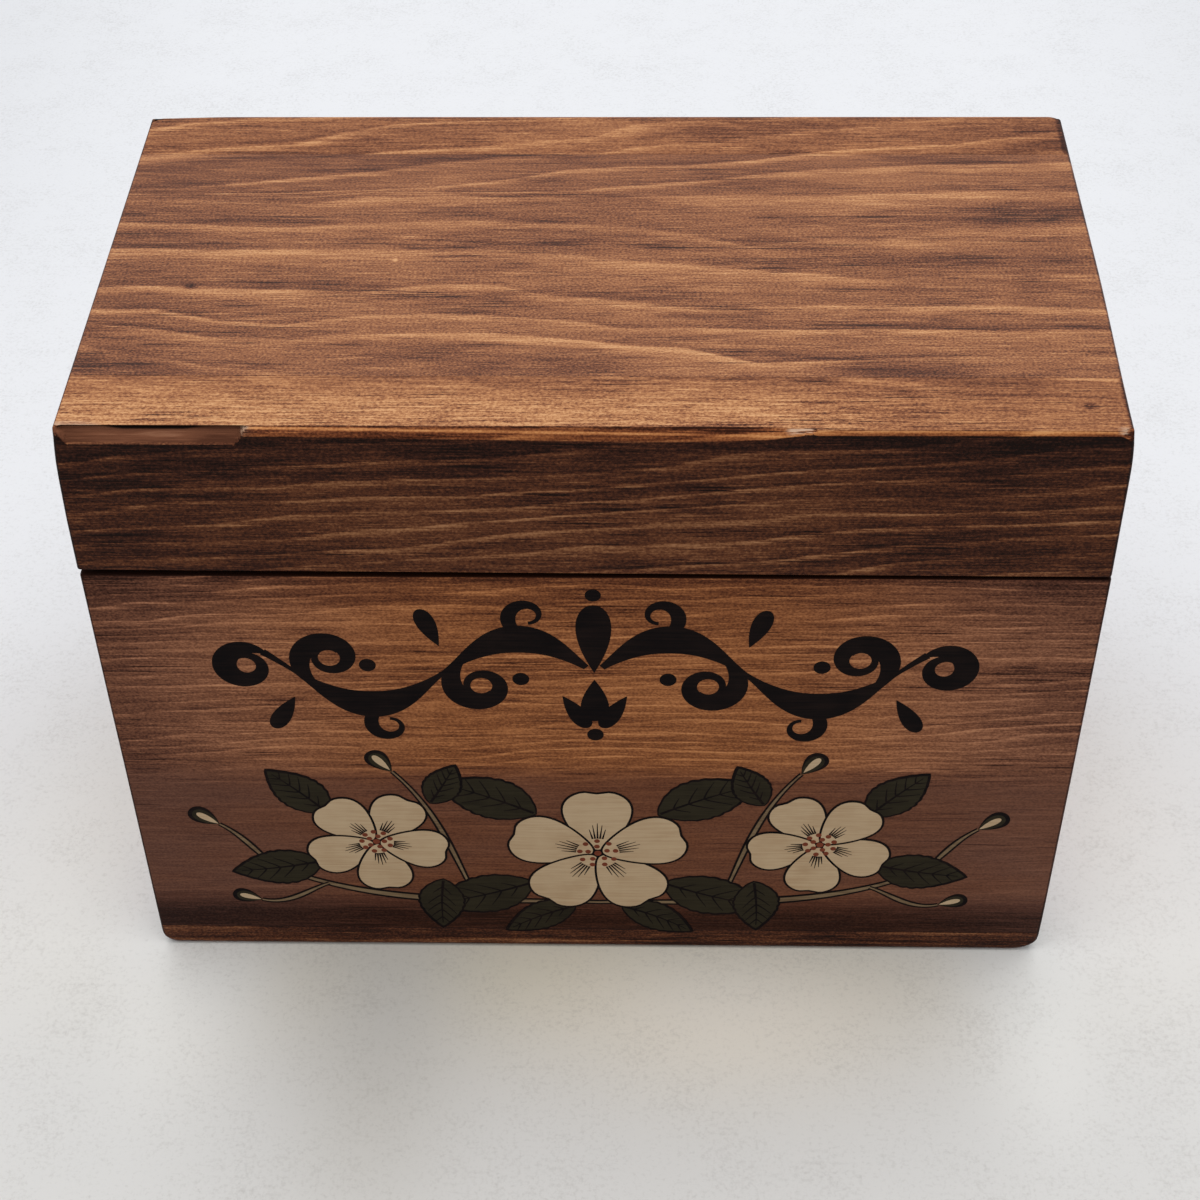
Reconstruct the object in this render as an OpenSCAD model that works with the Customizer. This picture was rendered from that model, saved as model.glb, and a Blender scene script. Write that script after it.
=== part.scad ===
/* [Box] */
// Outside width, left to right
box_w = 152.4; // [148:0.1:200]
// Outside depth of the wood, front to back
box_d = 85.7; // [76:0.1:130]
// Height of the lower box, with its bottom panel
body_h = 85.5; // [70:0.5:120]
// Height of the lid
lid_h = 26.7; // [22:0.1:45]
// Gap between the lid and the lower box when shut
seam_gap = 0.8; // [0.5:0.1:1.6]

/* [Boards] */
// Thickness of the front and back boards, and of the lid's front and back rails
face_t = 12.7; // [10:0.1:15]
// Thickness of the side boards and side rails
side_t = 9.5; // [7:0.1:12]
// Thickness of the lid's top board
top_t = 9.5; // [7:0.1:12]
// Thickness of the bottom panel
bottom_t = 4.8; // [3:0.1:8]
// How far the ends of the side boards are let into the front and back boards
lap_depth = 6.3; // [3:0.1:8]

/* [Eased edges] */
// Radius of the upright corners at the front
front_corner_r = 0.6; // [0.4:0.1:4]
// Radius of the upright corners at the back
back_corner_r = 1.8; // [0.6:0.1:4]
// Radius of the top's long edges, over the front and the back
top_face_r = 1.2; // [0.5:0.1:3]
// Radius of the top's short edges, over the two ends
top_end_r = 0.7; // [0.4:0.1:3]
// Radius of the underside's long edges
base_face_r = 1.2; // [0.5:0.1:4]
// Radius of the underside's short edges
base_end_r = 2.8; // [0.8:0.1:4]
// Radius of the outside edges along the seam
seam_r = 0.3; // [0.2:0.1:1]

/* [Hinges] */
// Length of each hinge
hinge_len = 25.4; // [20:0.1:38]
// Distance from the end of the box to the hinge
hinge_inset = 17; // [10:0.5:35]
// Height of a leaf, from the pin's axis to its far edge
leaf_h = 9.6; // [8.2:0.1:14]
// Thickness of the brass sheet that a leaf and its knuckles are made of
leaf_t = 0.8; // [0.6:0.1:1.1]
// Radius of the corners at the far edge of a leaf
leaf_corner_r = 1.2; // [0.5:0.1:2]
// Number of knuckles on a hinge, an odd number
knuckle_count = 5; // [3:2:7]
// Gap between a knuckle and its neighbours
knuckle_gap = 0.16; // [0.1:0.02:0.4]
// Radius of a hinge pin
pin_r = 0.7; // [0.5:0.05:1]
// Radial clearance of a hinge pin in its knuckles
pin_fit = 0.05; // [0.02:0.01:0.1]
// How far the rounded ends of a hinge pin stand out of the knuckles
pin_reach = 0.3; // [0.1:0.05:0.45]

/* [Hinge screws] */
// Number of screws in each leaf
screw_count = 2; // [2:1:3]
// Distance from the ends of a leaf to its nearest screw
screw_end = 6.2; // [3.5:0.1:7]
// Distance from the far edge of a leaf to its screws
screw_edge = 3.6; // [2.8:0.1:4.2]
// Radius of a screw's head
screw_head_r = 1.9; // [1.4:0.1:2.1]
// Radius of a screw's shank
screw_shank_r = 0.9; // [0.6:0.05:1.1]
// Length of a screw, from its head's face to its point
screw_len = 9; // [6:0.5:10]
// Width of a screw's slot
slot_w = 0.5; // [0.3:0.05:0.7]
// Depth of a screw's slot
slot_depth = 0.4; // [0.2:0.05:0.5]
// Turn of the slot from one screw to the next, in degrees
slot_turn = 55; // [0:5:90]
// Clearance of screws and brads in their holes
fastener_fit = 0.05; // [0.02:0.01:0.1]

/* [Bottom brads] */
// Number of brads along the front, and as many along the back
brads_per_face = 3; // [2:1:5]
// Distance from the end of the box to the outermost brads
brad_inset = 22; // [18:0.5:30]
// Length of a brad
brad_len = 15; // [10:0.5:20]
// Radius of a brad's shank
brad_r = 0.6; // [0.4:0.05:0.9]
// Radius of a brad's head
brad_head_r = 1.2; // [1:0.05:1.6]
// Thickness of a brad's head
brad_head_t = 0.5; // [0.3:0.05:0.8]
// How far a brad's head is sunk into the underside
brad_sink = 0.2; // [0.1:0.05:0.5]

/* [Hidden] */
$fn = 48;
// What a cutter reaches past the surface that it cuts
past = 1;
left = -1;
right = 1;

lid_z = body_h + seam_gap;
box_h = lid_z + lid_h;
top_z = box_h - top_t;
inner_d = box_d - 2 * face_t;

// A knuckle is the leaf's own sheet, rolled round the pin
knuckle_r = pin_r + pin_fit + leaf_t;
knuckle_pitch = hinge_len / knuckle_count;
hinge_x = box_w / 2 - hinge_inset - hinge_len / 2;
hinge_y = box_d / 2 + knuckle_r;
hinge_z = body_h + seam_gap / 2;

screw_span = hinge_len - 2 * screw_end;
screw_row = leaf_h - screw_edge;
screw_tip = 1.5 * screw_shank_r;
brad_span = box_w - 2 * brad_inset;
brad_tip = 2 * brad_r;

front_brown = "#8a5c40";
side_brown = "#7d523a";
lid_brown = "#5f3c2c";
top_brown = "#95664b";
bottom_brown = "#6b4632";
brass = "#b08d4c";
steel = "#8f8f92";

// A block between two opposite corners
module block(low, high) {
    translate(low) cube(high - low);
}

// Puts its children at the right-hand side as they are, or mirrored at the left
module at_side(side) {
    mirror([side == left ? 1 : 0, 0, 0]) children();
}

// What a round-over of radius r takes off the corner of a flat shape
module corner_waste(r) {
    difference() {
        square(r + past);
        circle(r);
    }
}

// A flat rectangle w wide from y = low to y = high, its corners rounded
module rounded_profile(w, low, high, low_r, high_r) {
    difference() {
        translate([-w / 2, low]) square([w, high - low]);
        for (side = [left, right]) mirror([side == left ? 1 : 0, 0]) {
            translate([w / 2 - high_r, high - high_r]) corner_waste(high_r);
            translate([w / 2 - low_r, low + low_r]) mirror([0, 1]) corner_waste(low_r);
        }
    }
}

// The outside of the body or of the lid as one solid block, with its edges eased:
// face_low and face_high are the radii of its long edges, end_low and end_high of its short ones
module eased_block(z0, z1, face_low, face_high, end_low, end_high) {
    intersection() {
        rotate([90, 0, 0]) linear_extrude(box_d + 2 * past, center = true)
            rounded_profile(box_w, z0, z1, end_low, end_high);
        rotate([90, 0, 90]) linear_extrude(box_w + 2 * past, center = true)
            rounded_profile(box_d, z0, z1, face_low, face_high);
        translate([0, 0, z0 - past]) linear_extrude(z1 - z0 + 2 * past)
            rounded_profile(box_w, -box_d / 2, box_d / 2, front_corner_r, back_corner_r);
    }
}

module body_outside() {
    eased_block(0, body_h, base_face_r, seam_r, base_end_r, seam_r);
}

module lid_outside() {
    eased_block(lid_z, box_h, seam_r, top_face_r, seam_r, top_end_r);
}

// A board across the whole front, with a lap at each end that reaches up to lap_top
module face_board(z0, z1, lap_top) {
    difference() {
        block([-box_w / 2, -box_d / 2, z0], [box_w / 2, -inner_d / 2, z1]);
        for (side = [left, right]) at_side(side)
            block([box_w / 2 - side_t, -inner_d / 2 - lap_depth, z0 - past],
                  [box_w / 2 + past, -inner_d / 2 + past, lap_top]);
    }
}

// A board at the right-hand side, with its ends in the laps
module side_board(z0, z1) {
    reach = inner_d / 2 + lap_depth;
    block([box_w / 2 - side_t, -reach, z0], [box_w / 2, reach, z1]);
}

// One brad, or with a clearance its hole, standing on its head at the origin
module brad(fit) {
    rotate_extrude() polygon([
        [0, 0],
        [brad_head_r + fit, 0],
        [brad_head_r + fit, brad_head_t + fit],
        [brad_r + fit, brad_head_t + fit],
        [brad_r + fit, brad_len - brad_tip],
        [0, brad_len + fit]
    ]);
}

// Puts its children at every brad, at the level of its head
module at_brads() {
    for (i = [0 : brads_per_face - 1], face = [-1, 1])
        translate([brad_span * (i / (brads_per_face - 1) - 1 / 2), face * (box_d - face_t) / 2, brad_sink])
            children();
    for (side = [left, right])
        translate([side * (box_w - side_t) / 2, 0, brad_sink]) children();
}

// The holes that the brads sit in, open to the underside
module brad_holes() {
    at_brads() {
        brad(fastener_fit);
        translate([0, 0, -brad_sink - past])
            cylinder(h = brad_sink + past + brad_head_t, r = brad_head_r + fastener_fit);
    }
}

// Puts its children at a hinge, where the middle of its pin is
module at_hinge(side) {
    translate([side * hinge_x, hinge_y, hinge_z]) children();
}

// Puts its children at every screw of a leaf, their z pointing out of the wood; way is 1 up, -1 down
module at_screws(way) {
    for (i = [0 : screw_count - 1])
        translate([screw_span * (i / (screw_count - 1) - 1 / 2), leaf_t - knuckle_r, way * screw_row])
            rotate([-90, i * slot_turn, 0]) children();
}

// Puts its children at every screw of both hinges, above or below the seam
module at_all_screws(way) {
    for (side = [left, right]) at_hinge(side) at_screws(way) children();
}

// A screw without its slot, or with a clearance its hole: a head as deep as the leaf, and a shank below it
module screw_shape(fit) {
    rotate_extrude() polygon([
        [0, fit],
        [screw_head_r + fit, fit],
        [screw_head_r + fit, 0],
        [screw_shank_r + fit, -leaf_t],
        [screw_shank_r + fit, -screw_len + screw_tip],
        [0, -screw_len - fit]
    ]);
}

module screw() {
    difference() {
        screw_shape(0);
        translate([-screw_head_r - past, -slot_w / 2, -slot_depth])
            cube([2 * (screw_head_r + past), slot_w, slot_depth + past]);
    }
}

// Where knuckle i starts along the pin, from the middle of the hinge
function knuckle_start(i) = i * knuckle_pitch - hinge_len / 2;

// What knuckle i is short of its pitch at its start: half a gap, but nothing at the ends of the hinge
function half_gap(i) = (i == 0 || i == knuckle_count) ? 0 : knuckle_gap / 2;

// A knuckle along the pin, without its bore
module knuckle(i) {
    from = knuckle_start(i) + half_gap(i);
    to = knuckle_start(i + 1) - half_gap(i + 1);
    translate([from, 0, 0]) rotate([0, 90, 0]) cylinder(h = to - from, r = knuckle_r);
}

// What the other leaf's knuckle i takes out of this leaf's flat
module knuckle_notch(i) {
    from = (i == 0) ? -hinge_len / 2 - past : knuckle_start(i) - half_gap(i);
    to = (i == knuckle_count - 1) ? hinge_len / 2 + past : knuckle_start(i + 1) + half_gap(i + 1);
    block([from, -knuckle_r - past, -past], [to, leaf_t - knuckle_r + past, knuckle_r + knuckle_gap]);
}

// The flat of a leaf above the pin's axis, against the wood, with its two far corners rounded
module leaf_flat() {
    translate([0, leaf_t - knuckle_r, 0]) rotate([90, 0, 0]) linear_extrude(leaf_t) difference() {
        translate([-hinge_len / 2, 0]) square([hinge_len, leaf_h]);
        for (side = [left, right]) mirror([side == left ? 1 : 0, 0])
            translate([hinge_len / 2 - leaf_corner_r, leaf_h - leaf_corner_r]) corner_waste(leaf_corner_r);
    }
}

// A leaf above the pin's axis, with the knuckles from first on, every second one
module leaf(first) {
    difference() {
        union() {
            difference() {
                leaf_flat();
                for (i = [1 - first : 2 : knuckle_count - 1]) knuckle_notch(i);
            }
            for (i = [first : 2 : knuckle_count - 1]) knuckle(i);
        }
        translate([-hinge_len / 2 - past, 0, 0]) rotate([0, 90, 0])
            cylinder(h = hinge_len + 2 * past, r = pin_r + pin_fit);
        at_screws(1) screw_shape(fastener_fit);
    }
}

module hinge_lower_leaf(side) {
    color(brass) at_hinge(side) mirror([0, 0, 1]) leaf(0);
}

module hinge_upper_leaf(side) {
    color(brass) at_hinge(side) leaf(1);
}

// A round pin with rounded ends
module hinge_pin(side) {
    straight = hinge_len / 2 + pin_reach - pin_r;
    color(steel) at_hinge(side) rotate([0, 90, 0]) rotate_extrude() intersection() {
        union() {
            translate([0, -straight]) square([pin_r, 2 * straight]);
            for (end = [-1, 1]) translate([0, end * straight]) circle(pin_r);
        }
        translate([0, -hinge_len]) square([pin_r, 2 * hinge_len]);
    }
}

module front_board() {
    color(front_brown) difference() {
        intersection() {
            face_board(bottom_t, body_h, body_h + past);
            body_outside();
        }
        brad_holes();
    }
}

module back_board() {
    color(side_brown) difference() {
        intersection() {
            mirror([0, 1, 0]) face_board(bottom_t, body_h, body_h + past);
            body_outside();
        }
        brad_holes();
        at_all_screws(-1) screw_shape(fastener_fit);
    }
}

module body_side_board(side) {
    color(side_brown) at_side(side) difference() {
        intersection() {
            side_board(bottom_t, body_h);
            body_outside();
        }
        brad_holes();
    }
}

module bottom_panel() {
    color(bottom_brown) difference() {
        intersection() {
            block([-box_w / 2, -box_d / 2, 0], [box_w / 2, box_d / 2, bottom_t]);
            body_outside();
        }
        brad_holes();
    }
}

module bottom_brads() {
    color(steel) at_brads() brad(0);
}

module lid_front_rail() {
    color(lid_brown) intersection() {
        face_board(lid_z, box_h, top_z);
        lid_outside();
    }
}

module lid_back_rail() {
    color(lid_brown) difference() {
        intersection() {
            mirror([0, 1, 0]) face_board(lid_z, box_h, top_z);
            lid_outside();
        }
        at_all_screws(1) screw_shape(fastener_fit);
    }
}

module lid_side_rail(side) {
    color(lid_brown) at_side(side) intersection() {
        side_board(lid_z, top_z);
        lid_outside();
    }
}

module lid_top_board() {
    color(top_brown) intersection() {
        block([-box_w / 2, -inner_d / 2, top_z], [box_w / 2, inner_d / 2, box_h]);
        lid_outside();
    }
}

module lower_hinge_screws() {
    color(brass) at_all_screws(-1) screw();
}

module upper_hinge_screws() {
    color(brass) at_all_screws(1) screw();
}

front_board();
back_board();
body_side_board(left);  // left_board
body_side_board(right);  // right_board
bottom_panel();
bottom_brads();
lid_front_rail();
lid_back_rail();
lid_side_rail(left);  // lid_left_rail
lid_side_rail(right);  // lid_right_rail
lid_top_board();
hinge_lower_leaf(left);  // left_hinge_lower_leaf
hinge_upper_leaf(left);  // left_hinge_upper_leaf
hinge_pin(left);  // left_hinge_pin
hinge_lower_leaf(right);  // right_hinge_lower_leaf
hinge_upper_leaf(right);  // right_hinge_upper_leaf
hinge_pin(right);  // right_hinge_pin
lower_hinge_screws();
upper_hinge_screws();
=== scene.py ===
# %% [markdown]
# # A lidded card box in Blender
# The object is a small stained pine box for index cards. Its lid is a slice
# sawn off the top and hung at the back on two brass butt hinges, and its
# front carries a printed ornament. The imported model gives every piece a
# place and a body to ride on, so this lesson only dresses that frame.

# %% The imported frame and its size
import math

import bmesh
import bpy
import numpy as np
from mathutils import Matrix, Vector


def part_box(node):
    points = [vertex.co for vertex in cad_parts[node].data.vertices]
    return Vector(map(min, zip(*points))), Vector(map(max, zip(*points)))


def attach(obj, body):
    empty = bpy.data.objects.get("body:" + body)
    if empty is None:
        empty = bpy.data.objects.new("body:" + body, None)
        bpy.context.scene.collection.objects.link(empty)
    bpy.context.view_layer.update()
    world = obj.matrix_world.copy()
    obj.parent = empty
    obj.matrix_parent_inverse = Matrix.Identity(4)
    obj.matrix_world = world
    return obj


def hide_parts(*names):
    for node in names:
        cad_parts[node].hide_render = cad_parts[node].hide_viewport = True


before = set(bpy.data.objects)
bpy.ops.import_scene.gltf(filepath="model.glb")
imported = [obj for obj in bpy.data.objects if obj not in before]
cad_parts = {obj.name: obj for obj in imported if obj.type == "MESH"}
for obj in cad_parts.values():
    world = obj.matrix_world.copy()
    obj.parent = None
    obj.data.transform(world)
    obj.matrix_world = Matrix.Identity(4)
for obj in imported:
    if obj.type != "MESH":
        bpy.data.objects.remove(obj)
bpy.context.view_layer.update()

MM = 0.001

# %% [markdown]
# ## The camera
# The box is seen from the front and well above, so the camera looks down at
# about 42 degrees through a long lens. Its place was fitted to the outline
# of the box, so it is written as numbers: where it stands, how far it looks
# down, how far it turns aside and how much it leans.

# %% The camera
CAMERA_PLACE = (9.23, -290.05, 306.66)
LOOK_DOWN, LOOK_ASIDE, LEAN = (math.radians(a) for a in (42.35, -1.889, -0.985))
LENS, SENSOR = 67.665, 36.0

forward = Vector((
    math.sin(LOOK_ASIDE) * math.cos(LOOK_DOWN),
    math.cos(LOOK_ASIDE) * math.cos(LOOK_DOWN),
    -math.sin(LOOK_DOWN),
))
level = Vector((math.cos(LOOK_ASIDE), -math.sin(LOOK_ASIDE), 0))
upright = level.cross(forward)
right = math.cos(LEAN) * level + math.sin(LEAN) * upright
up = math.cos(LEAN) * upright - math.sin(LEAN) * level

camera_data = bpy.data.cameras.new("camera")
camera_data.lens, camera_data.sensor_width = LENS, SENSOR
camera_data.clip_start = 0.01
camera = bpy.data.objects.new("camera", camera_data)
bpy.context.scene.collection.objects.link(camera)
camera.matrix_world = (
    Matrix.Translation(Vector(CAMERA_PLACE) * MM)
    @ Matrix((right, up, -forward)).transposed().to_4x4()
)
bpy.context.scene.camera = camera
print("camera stands at", [round(v, 4) for v in camera.matrix_world.translation])

# %% [markdown]
# ## A skin over a stack of outlines
# Every board is a plank whose section hardly changes along its length, so
# it could be a cube with a Bevel modifier. But the real edges are rounded by
# hand, more here and less there, and chipped in places. A skin drawn over a
# stack of outlines lets each outline differ a little from the last: row i of
# the grid is one closed outline, and the two end outlines are filled flat.

# %% From a grid of points to a closed mesh
MERGE, CREASE = 2e-6, 32


def skin_faces(rows, around, first):
    """Quads between neighbouring rows of a grid and one flat face at each end,
    counted from the first point's number."""
    i, j = np.mgrid[0 : rows - 1, 0:around]
    near, far = i * around + j, i * around + (j + 1) % around
    quads = np.stack([near, far, far + around, near + around], -1).reshape(-1, 4)
    ends = [np.arange(around), np.arange((rows - 1) * around, rows * around)]
    return [(face + first).tolist() for face in (*quads, *ends)]


def loft(name, grids, marks=None, merge=MERGE):
    """Skin of stacks of closed outlines: point (i, j) joins (i + 1, j) and
    (i, j + 1), with j running round. Points closer than merge metres are made
    one, and edges sharper than CREASE degrees stay sharp."""
    points, faces, count = [], [], 0
    for grid in grids if isinstance(grids, list) else [grids]:
        faces += skin_faces(*grid.shape[:2], count)
        points.append(grid.reshape(-1, 3))
        count += len(points[-1])
    mesh = bpy.data.meshes.new(name)
    mesh.from_pydata(np.concatenate(points) * MM, [], faces)
    for mark, values in (marks or {}).items():
        layer = mesh.attributes.new(mark, "FLOAT", "POINT")
        layer.data.foreach_set("value", values.reshape(-1).astype(np.float32))
    work = bmesh.new()
    work.from_mesh(mesh)
    if merge:
        bmesh.ops.remove_doubles(work, verts=work.verts, dist=merge)
        bmesh.ops.dissolve_degenerate(work, edges=work.edges, dist=merge)
    bmesh.ops.recalc_face_normals(work, faces=work.faces)
    for face in work.faces:
        face.smooth = True
    work.to_mesh(mesh)
    work.free()
    mesh.set_sharp_from_angle(angle=math.radians(CREASE))
    return mesh


def place(mesh, body, slot, *nodes):
    """Puts a mesh in the scene as a piece that rides a body and stands for CAD
    nodes, which it hides. The slot is not used."""
    piece = bpy.data.objects.new(mesh.name, mesh)
    bpy.context.scene.collection.objects.link(piece)
    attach(piece, body)
    if nodes:
        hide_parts(*nodes)
    print(piece.name, "on the", body, "with", len(mesh.polygons), "faces")
    return piece


# %% [markdown]
# ## Edges rounded by hand
# A sanded edge is a quarter circle whose radius wanders a little along the
# board. Two small functions are enough: one gives a slow random wave from a
# fixed seed, the other says how far a rounded end has fallen back at some
# distance from the end of the board.

# %% Slow waves and rounded ends
WAVES, LOUDNESS = 8, 1.6


def wander(x, seed, longest, amount):
    """Slow random wave: a sum of sines of length longest / k, with gains near
    1 / k and phases drawn from the seed, scaled to about amount."""
    draw = np.random.default_rng(seed)
    order = np.arange(1, WAVES + 1)
    phase = draw.uniform(0, 2 * np.pi, WAVES)
    gain = draw.uniform(0.5, 1.0, WAVES) / order
    waves = np.sin(2 * np.pi * np.multiply.outer(x, order) / longest + phase)
    return amount * LOUDNESS * (waves @ gain) / gain.sum()


def fall_back(distance, radius):
    """Drop of a quarter circle at a distance d from the end:
    r - sqrt(r^2 - (r - d)^2) inside the radius, and nothing past it."""
    run = np.clip(radius - distance, 0, radius)
    return radius - np.sqrt(radius**2 - run**2)


def end_fall(x, ends, radii):
    """Drop at both ends of a board, each end rounded by its own radius."""
    return fall_back(x - ends[0], radii[0]) + fall_back(ends[1] - x, radii[1])


def ramp(x, start, stop):
    """Smooth step: 0 before start, 1 after stop, 3t^2 - 2t^3 between."""
    t = np.clip((x - start) / (stop - start), 0, 1)
    return t * t * (3 - 2 * t)


def span(x, start, full, fading, stop):
    """Rises smoothly from 0 at start to 1 at full, and falls again from fading to stop."""
    return ramp(x, start, full) * (1 - ramp(x, fading, stop))


print("an end of radius 2 at 0.5 mm has dropped", round(float(fall_back(0.5, 2)), 3))

# %% The outline of a board
ARC_STEPS = 7


def rounded_outline(u0, u1, v0, v1, radii, bottom, inner, top, outer):
    """Outline of a rectangle with rounded corners, one for each station. Corner
    points are centre + radius * (cos a, sin a) over a quarter turn. Between the
    corners lie the given stops: bottom and top are depths, inner is heights,
    outer is shares of the way down."""
    u0, u1, v0, v1, *radii = np.broadcast_arrays(u0, u1, v0, v1, *radii)
    turn = np.linspace(0, np.pi / 2, ARC_STEPS + 1)

    def corner(u, v, side_u, side_v, radius, start):
        """Quarter turn about a centre that lies a radius inside the corner."""
        u, v, r, a = u[:, None], v[:, None], radius[:, None], start + turn
        return np.stack(
            [u + side_u * r + r * np.cos(a), v + side_v * r + r * np.sin(a)], -1
        )

    def run(u, v):
        """Straight row of points between two corners."""
        return np.stack(np.broadcast_arrays(u, v), -1)

    shares = np.asarray(outer)
    outer_top, outer_foot = (v1 - radii[3])[:, None], (v0 + radii[0])[:, None]
    return np.concatenate([
        corner(u0, v0, 1, 1, radii[0], np.pi),
        run(np.asarray(bottom)[None, :], v0[:, None]),
        corner(u1, v0, -1, 1, radii[1], 1.5 * np.pi),
        run(u1[:, None], np.asarray(inner)[None, :]),
        corner(u1, v1, -1, -1, radii[2], 0),
        run(np.asarray(top)[None, :], v1[:, None]),
        corner(u0, v1, 1, -1, radii[3], 0.5 * np.pi),
        run(u0[:, None], outer_top + (outer_foot - outer_top) * shares),
    ], axis=1)


def carried(x, outlines):
    """Points of a stack of outlines in Y and Z, carried along X."""
    across = np.broadcast_to(x[:, None], outlines.shape[:2])
    return np.stack([across, outlines[..., 0], outlines[..., 1]], -1)


def cosine_shares(count):
    """Shares of a length that crowd towards both ends: (1 - cos t) / 2."""
    return 0.5 - 0.5 * np.cos(np.pi * np.arange(1, count) / count)


print("outer face shares:", np.round(cosine_shares(6), 3))

# %% [markdown]
# ## Sizes of the carcass
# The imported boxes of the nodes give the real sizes, and a tenth of a
# millimetre is kept back so that the print can lie on the front face. The
# lid and the body were sanded apart, so their ends don't quite agree: the
# body narrows a little towards the foot, and the lid's ends lean in near the
# top. Two tables say how far each end is drawn in at each height, and every
# board is moved by them once its own shape is made.

# %% Sizes read from the frame
def extent(node):
    """Lowest and highest corner of a CAD node in millimetres."""
    return tuple(np.array(corner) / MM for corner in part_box(node))


front_low, front_high = extent("front_board")
lid_low, lid_high = extent("lid_front_rail")
side_low, side_high = extent("right_board")
top_low, top_high = extent("lid_top_board")

SKIN = 0.1
FACE_Y = -front_low[1] - SKIN
HALF_X = front_high[0] - SKIN
THICK = front_high[1] - front_low[1] - SKIN
LAP = side_low[1] - front_low[1] - SKIN
LAP_X = side_low[0]
FOOT_Z, SEAM_Z = front_low[2], front_high[2]
LID_Z, TOP_Z = lid_low[2], lid_high[2] - SKIN
DECK_Z = top_low[2]
ENDS = (-HALF_X, HALF_X)

FRONT_CORNERS, BACK_CORNERS, TOP_CORNERS = (0.5, 0.6), (2.2, 2.2), (0.45, 0.6)
JOINT_EASE, RIM_EASE, SEAM_EASE = 0.14, 0.3, 0.2
print("front board", round(THICK, 2), "thick, laps", round(LAP, 2), "deep")

# %% Ends drawn in by wear
WORN_Z = (0, 10, 40, 60, 85.6, 86.2, 96, 101, 103.6, 106.5, 107.9, 109.3, 110.7, 111.8, 112.9)
WORN_LEFT = (0.62, 0.56, 0.42, 0.28, 0.16, 0, 0, 0.11, 0.17, 0.29, 0.39, 0.52, 0.66, 0.86, 0.72)
WORN_RIGHT = (1.15, 0.88, 0.47, 0.25, 0.02, 0.06, 0.06, 0.06, 0.06, 0.08, 0.14, 0.24, 0.36, 0.56, 0.48)
FADE_FROM, FADE_TO = -42, 0


def drawn_in(grid):
    """Moves points towards the middle of the box, in proportion to x, by the
    inset of their height; on the right of the lid it fades towards the back."""
    x, y, z = np.moveaxis(grid, -1, 0)
    left, right = (np.interp(z, WORN_Z, worn) for worn in (WORN_LEFT, WORN_RIGHT))
    right = right * np.where(z > SEAM_Z + 0.1, 1 - ramp(y, FADE_FROM, FADE_TO), 1)
    moved = x * (1 - np.where(x < 0, left, right) / HALF_X)
    return np.stack([moved, y, z], -1)


print("the foot is drawn in by", WORN_LEFT[0], "and", WORN_RIGHT[0], "mm")

# %% [markdown]
# ## Front and back boards
# The faces of the box are full-width boards with a step cut in each end,
# where the side boards slip behind. The outline is carried along the board
# from end to end. Near an end the face falls back for the rounded corner of
# the box, and beyond the step the inner half of the outline is pulled in to
# the depth of the lap.

# %% Stations along a board
HAIR, STATION_STEP = 1e-5, 1.6
END_RUN, END_STEPS = 5.0, 15


def stations(fine=()):
    """Places along a board: crowded towards both ends, even steps between, a
    pair a hair apart at each lap, and closer ones over the listed stretches."""
    near = END_RUN * np.linspace(0, 1, END_STEPS) ** 2
    laps = [s * (LAP_X + h) for s in (-1, 1) for h in (-HAIR, HAIR)]
    runs = [np.arange(*stretch) for stretch in fine]
    middle = np.arange(ENDS[0] + END_RUN, ENDS[1] - END_RUN, STATION_STEP)
    return np.unique(np.concatenate([ENDS[0] + near, ENDS[1] - near, middle, laps, *runs]))


print(len(stations()), "stations on a plain board")

# %% A board with laps
BOW_RUN = 14
UNDER_STOPS, TOP_STOPS = (3.2, 4.6), (5.2, 4.1, 3.3, 2.7, 2.0, 1.5)
INNER_MARGIN, INNER_STOPS = 6, 9
BOARD_SHARES = np.concatenate([
    (0.006, 0.013, 0.022, 0.032, 0.044, 0.058, 0.074, 0.092, 0.114, 0.142, 0.18),
    np.linspace(0.23, 0.95, 16), (0.975, 0.99),
])


def lapped_board(foot, head, rounds, corners, foot_ends, head_ends, stop, fine=(), bow=0.0):
    """Outlines of a front or back board, in depth and height. The face falls
    back by the corner radii and a slow bow near the left end, foot and head by
    their own end radii, and past the lap the depth is limited to LAP below the
    height stop."""
    x = stations(fine)
    outlines = rounded_outline(
        end_fall(x, ENDS, corners) + bow * (1 - ramp(x - ENDS[0], 0, BOW_RUN)), THICK,
        foot(x) + end_fall(x, ENDS, foot_ends),
        head(x) - end_fall(x, ENDS, head_ends),
        rounds,
        bottom=(*UNDER_STOPS, LAP),
        inner=np.linspace(FOOT_Z + INNER_MARGIN, SEAM_Z - INNER_MARGIN, INNER_STOPS)
        if stop is None
        else (LID_Z + 4, LID_Z + 10, stop - HAIR, stop + HAIR, stop + 4),
        top=(LAP, *TOP_STOPS),
        outer=BOARD_SHARES,
    )
    depth, height = outlines[..., 0], outlines[..., 1]
    behind = np.abs(x)[:, None] > LAP_X
    if stop is not None:
        behind = behind & (height < stop)
    outlines[..., 0] = np.where(behind, np.minimum(depth, LAP), depth)
    return x, outlines


def along_x(side, x, outlines):
    """Places outlines of depth and height on the front or back of the box."""
    grid = carried(x, outlines)
    grid[..., 1] = side * (FACE_Y - grid[..., 1])
    return drawn_in(grid)


def level_at(z):
    """A straight edge at one height."""
    return lambda x: np.full_like(x, z)


print("the outer face of a board has", len(BOARD_SHARES), "rows of points")

# %% The body's front and back
SANDED, RIPPLE = 0.03, 0.012
RIPPLE_ALONG, RIPPLE_UP = 90, 60
FACE_DEPTHS = (0.05, 0.6)


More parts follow.
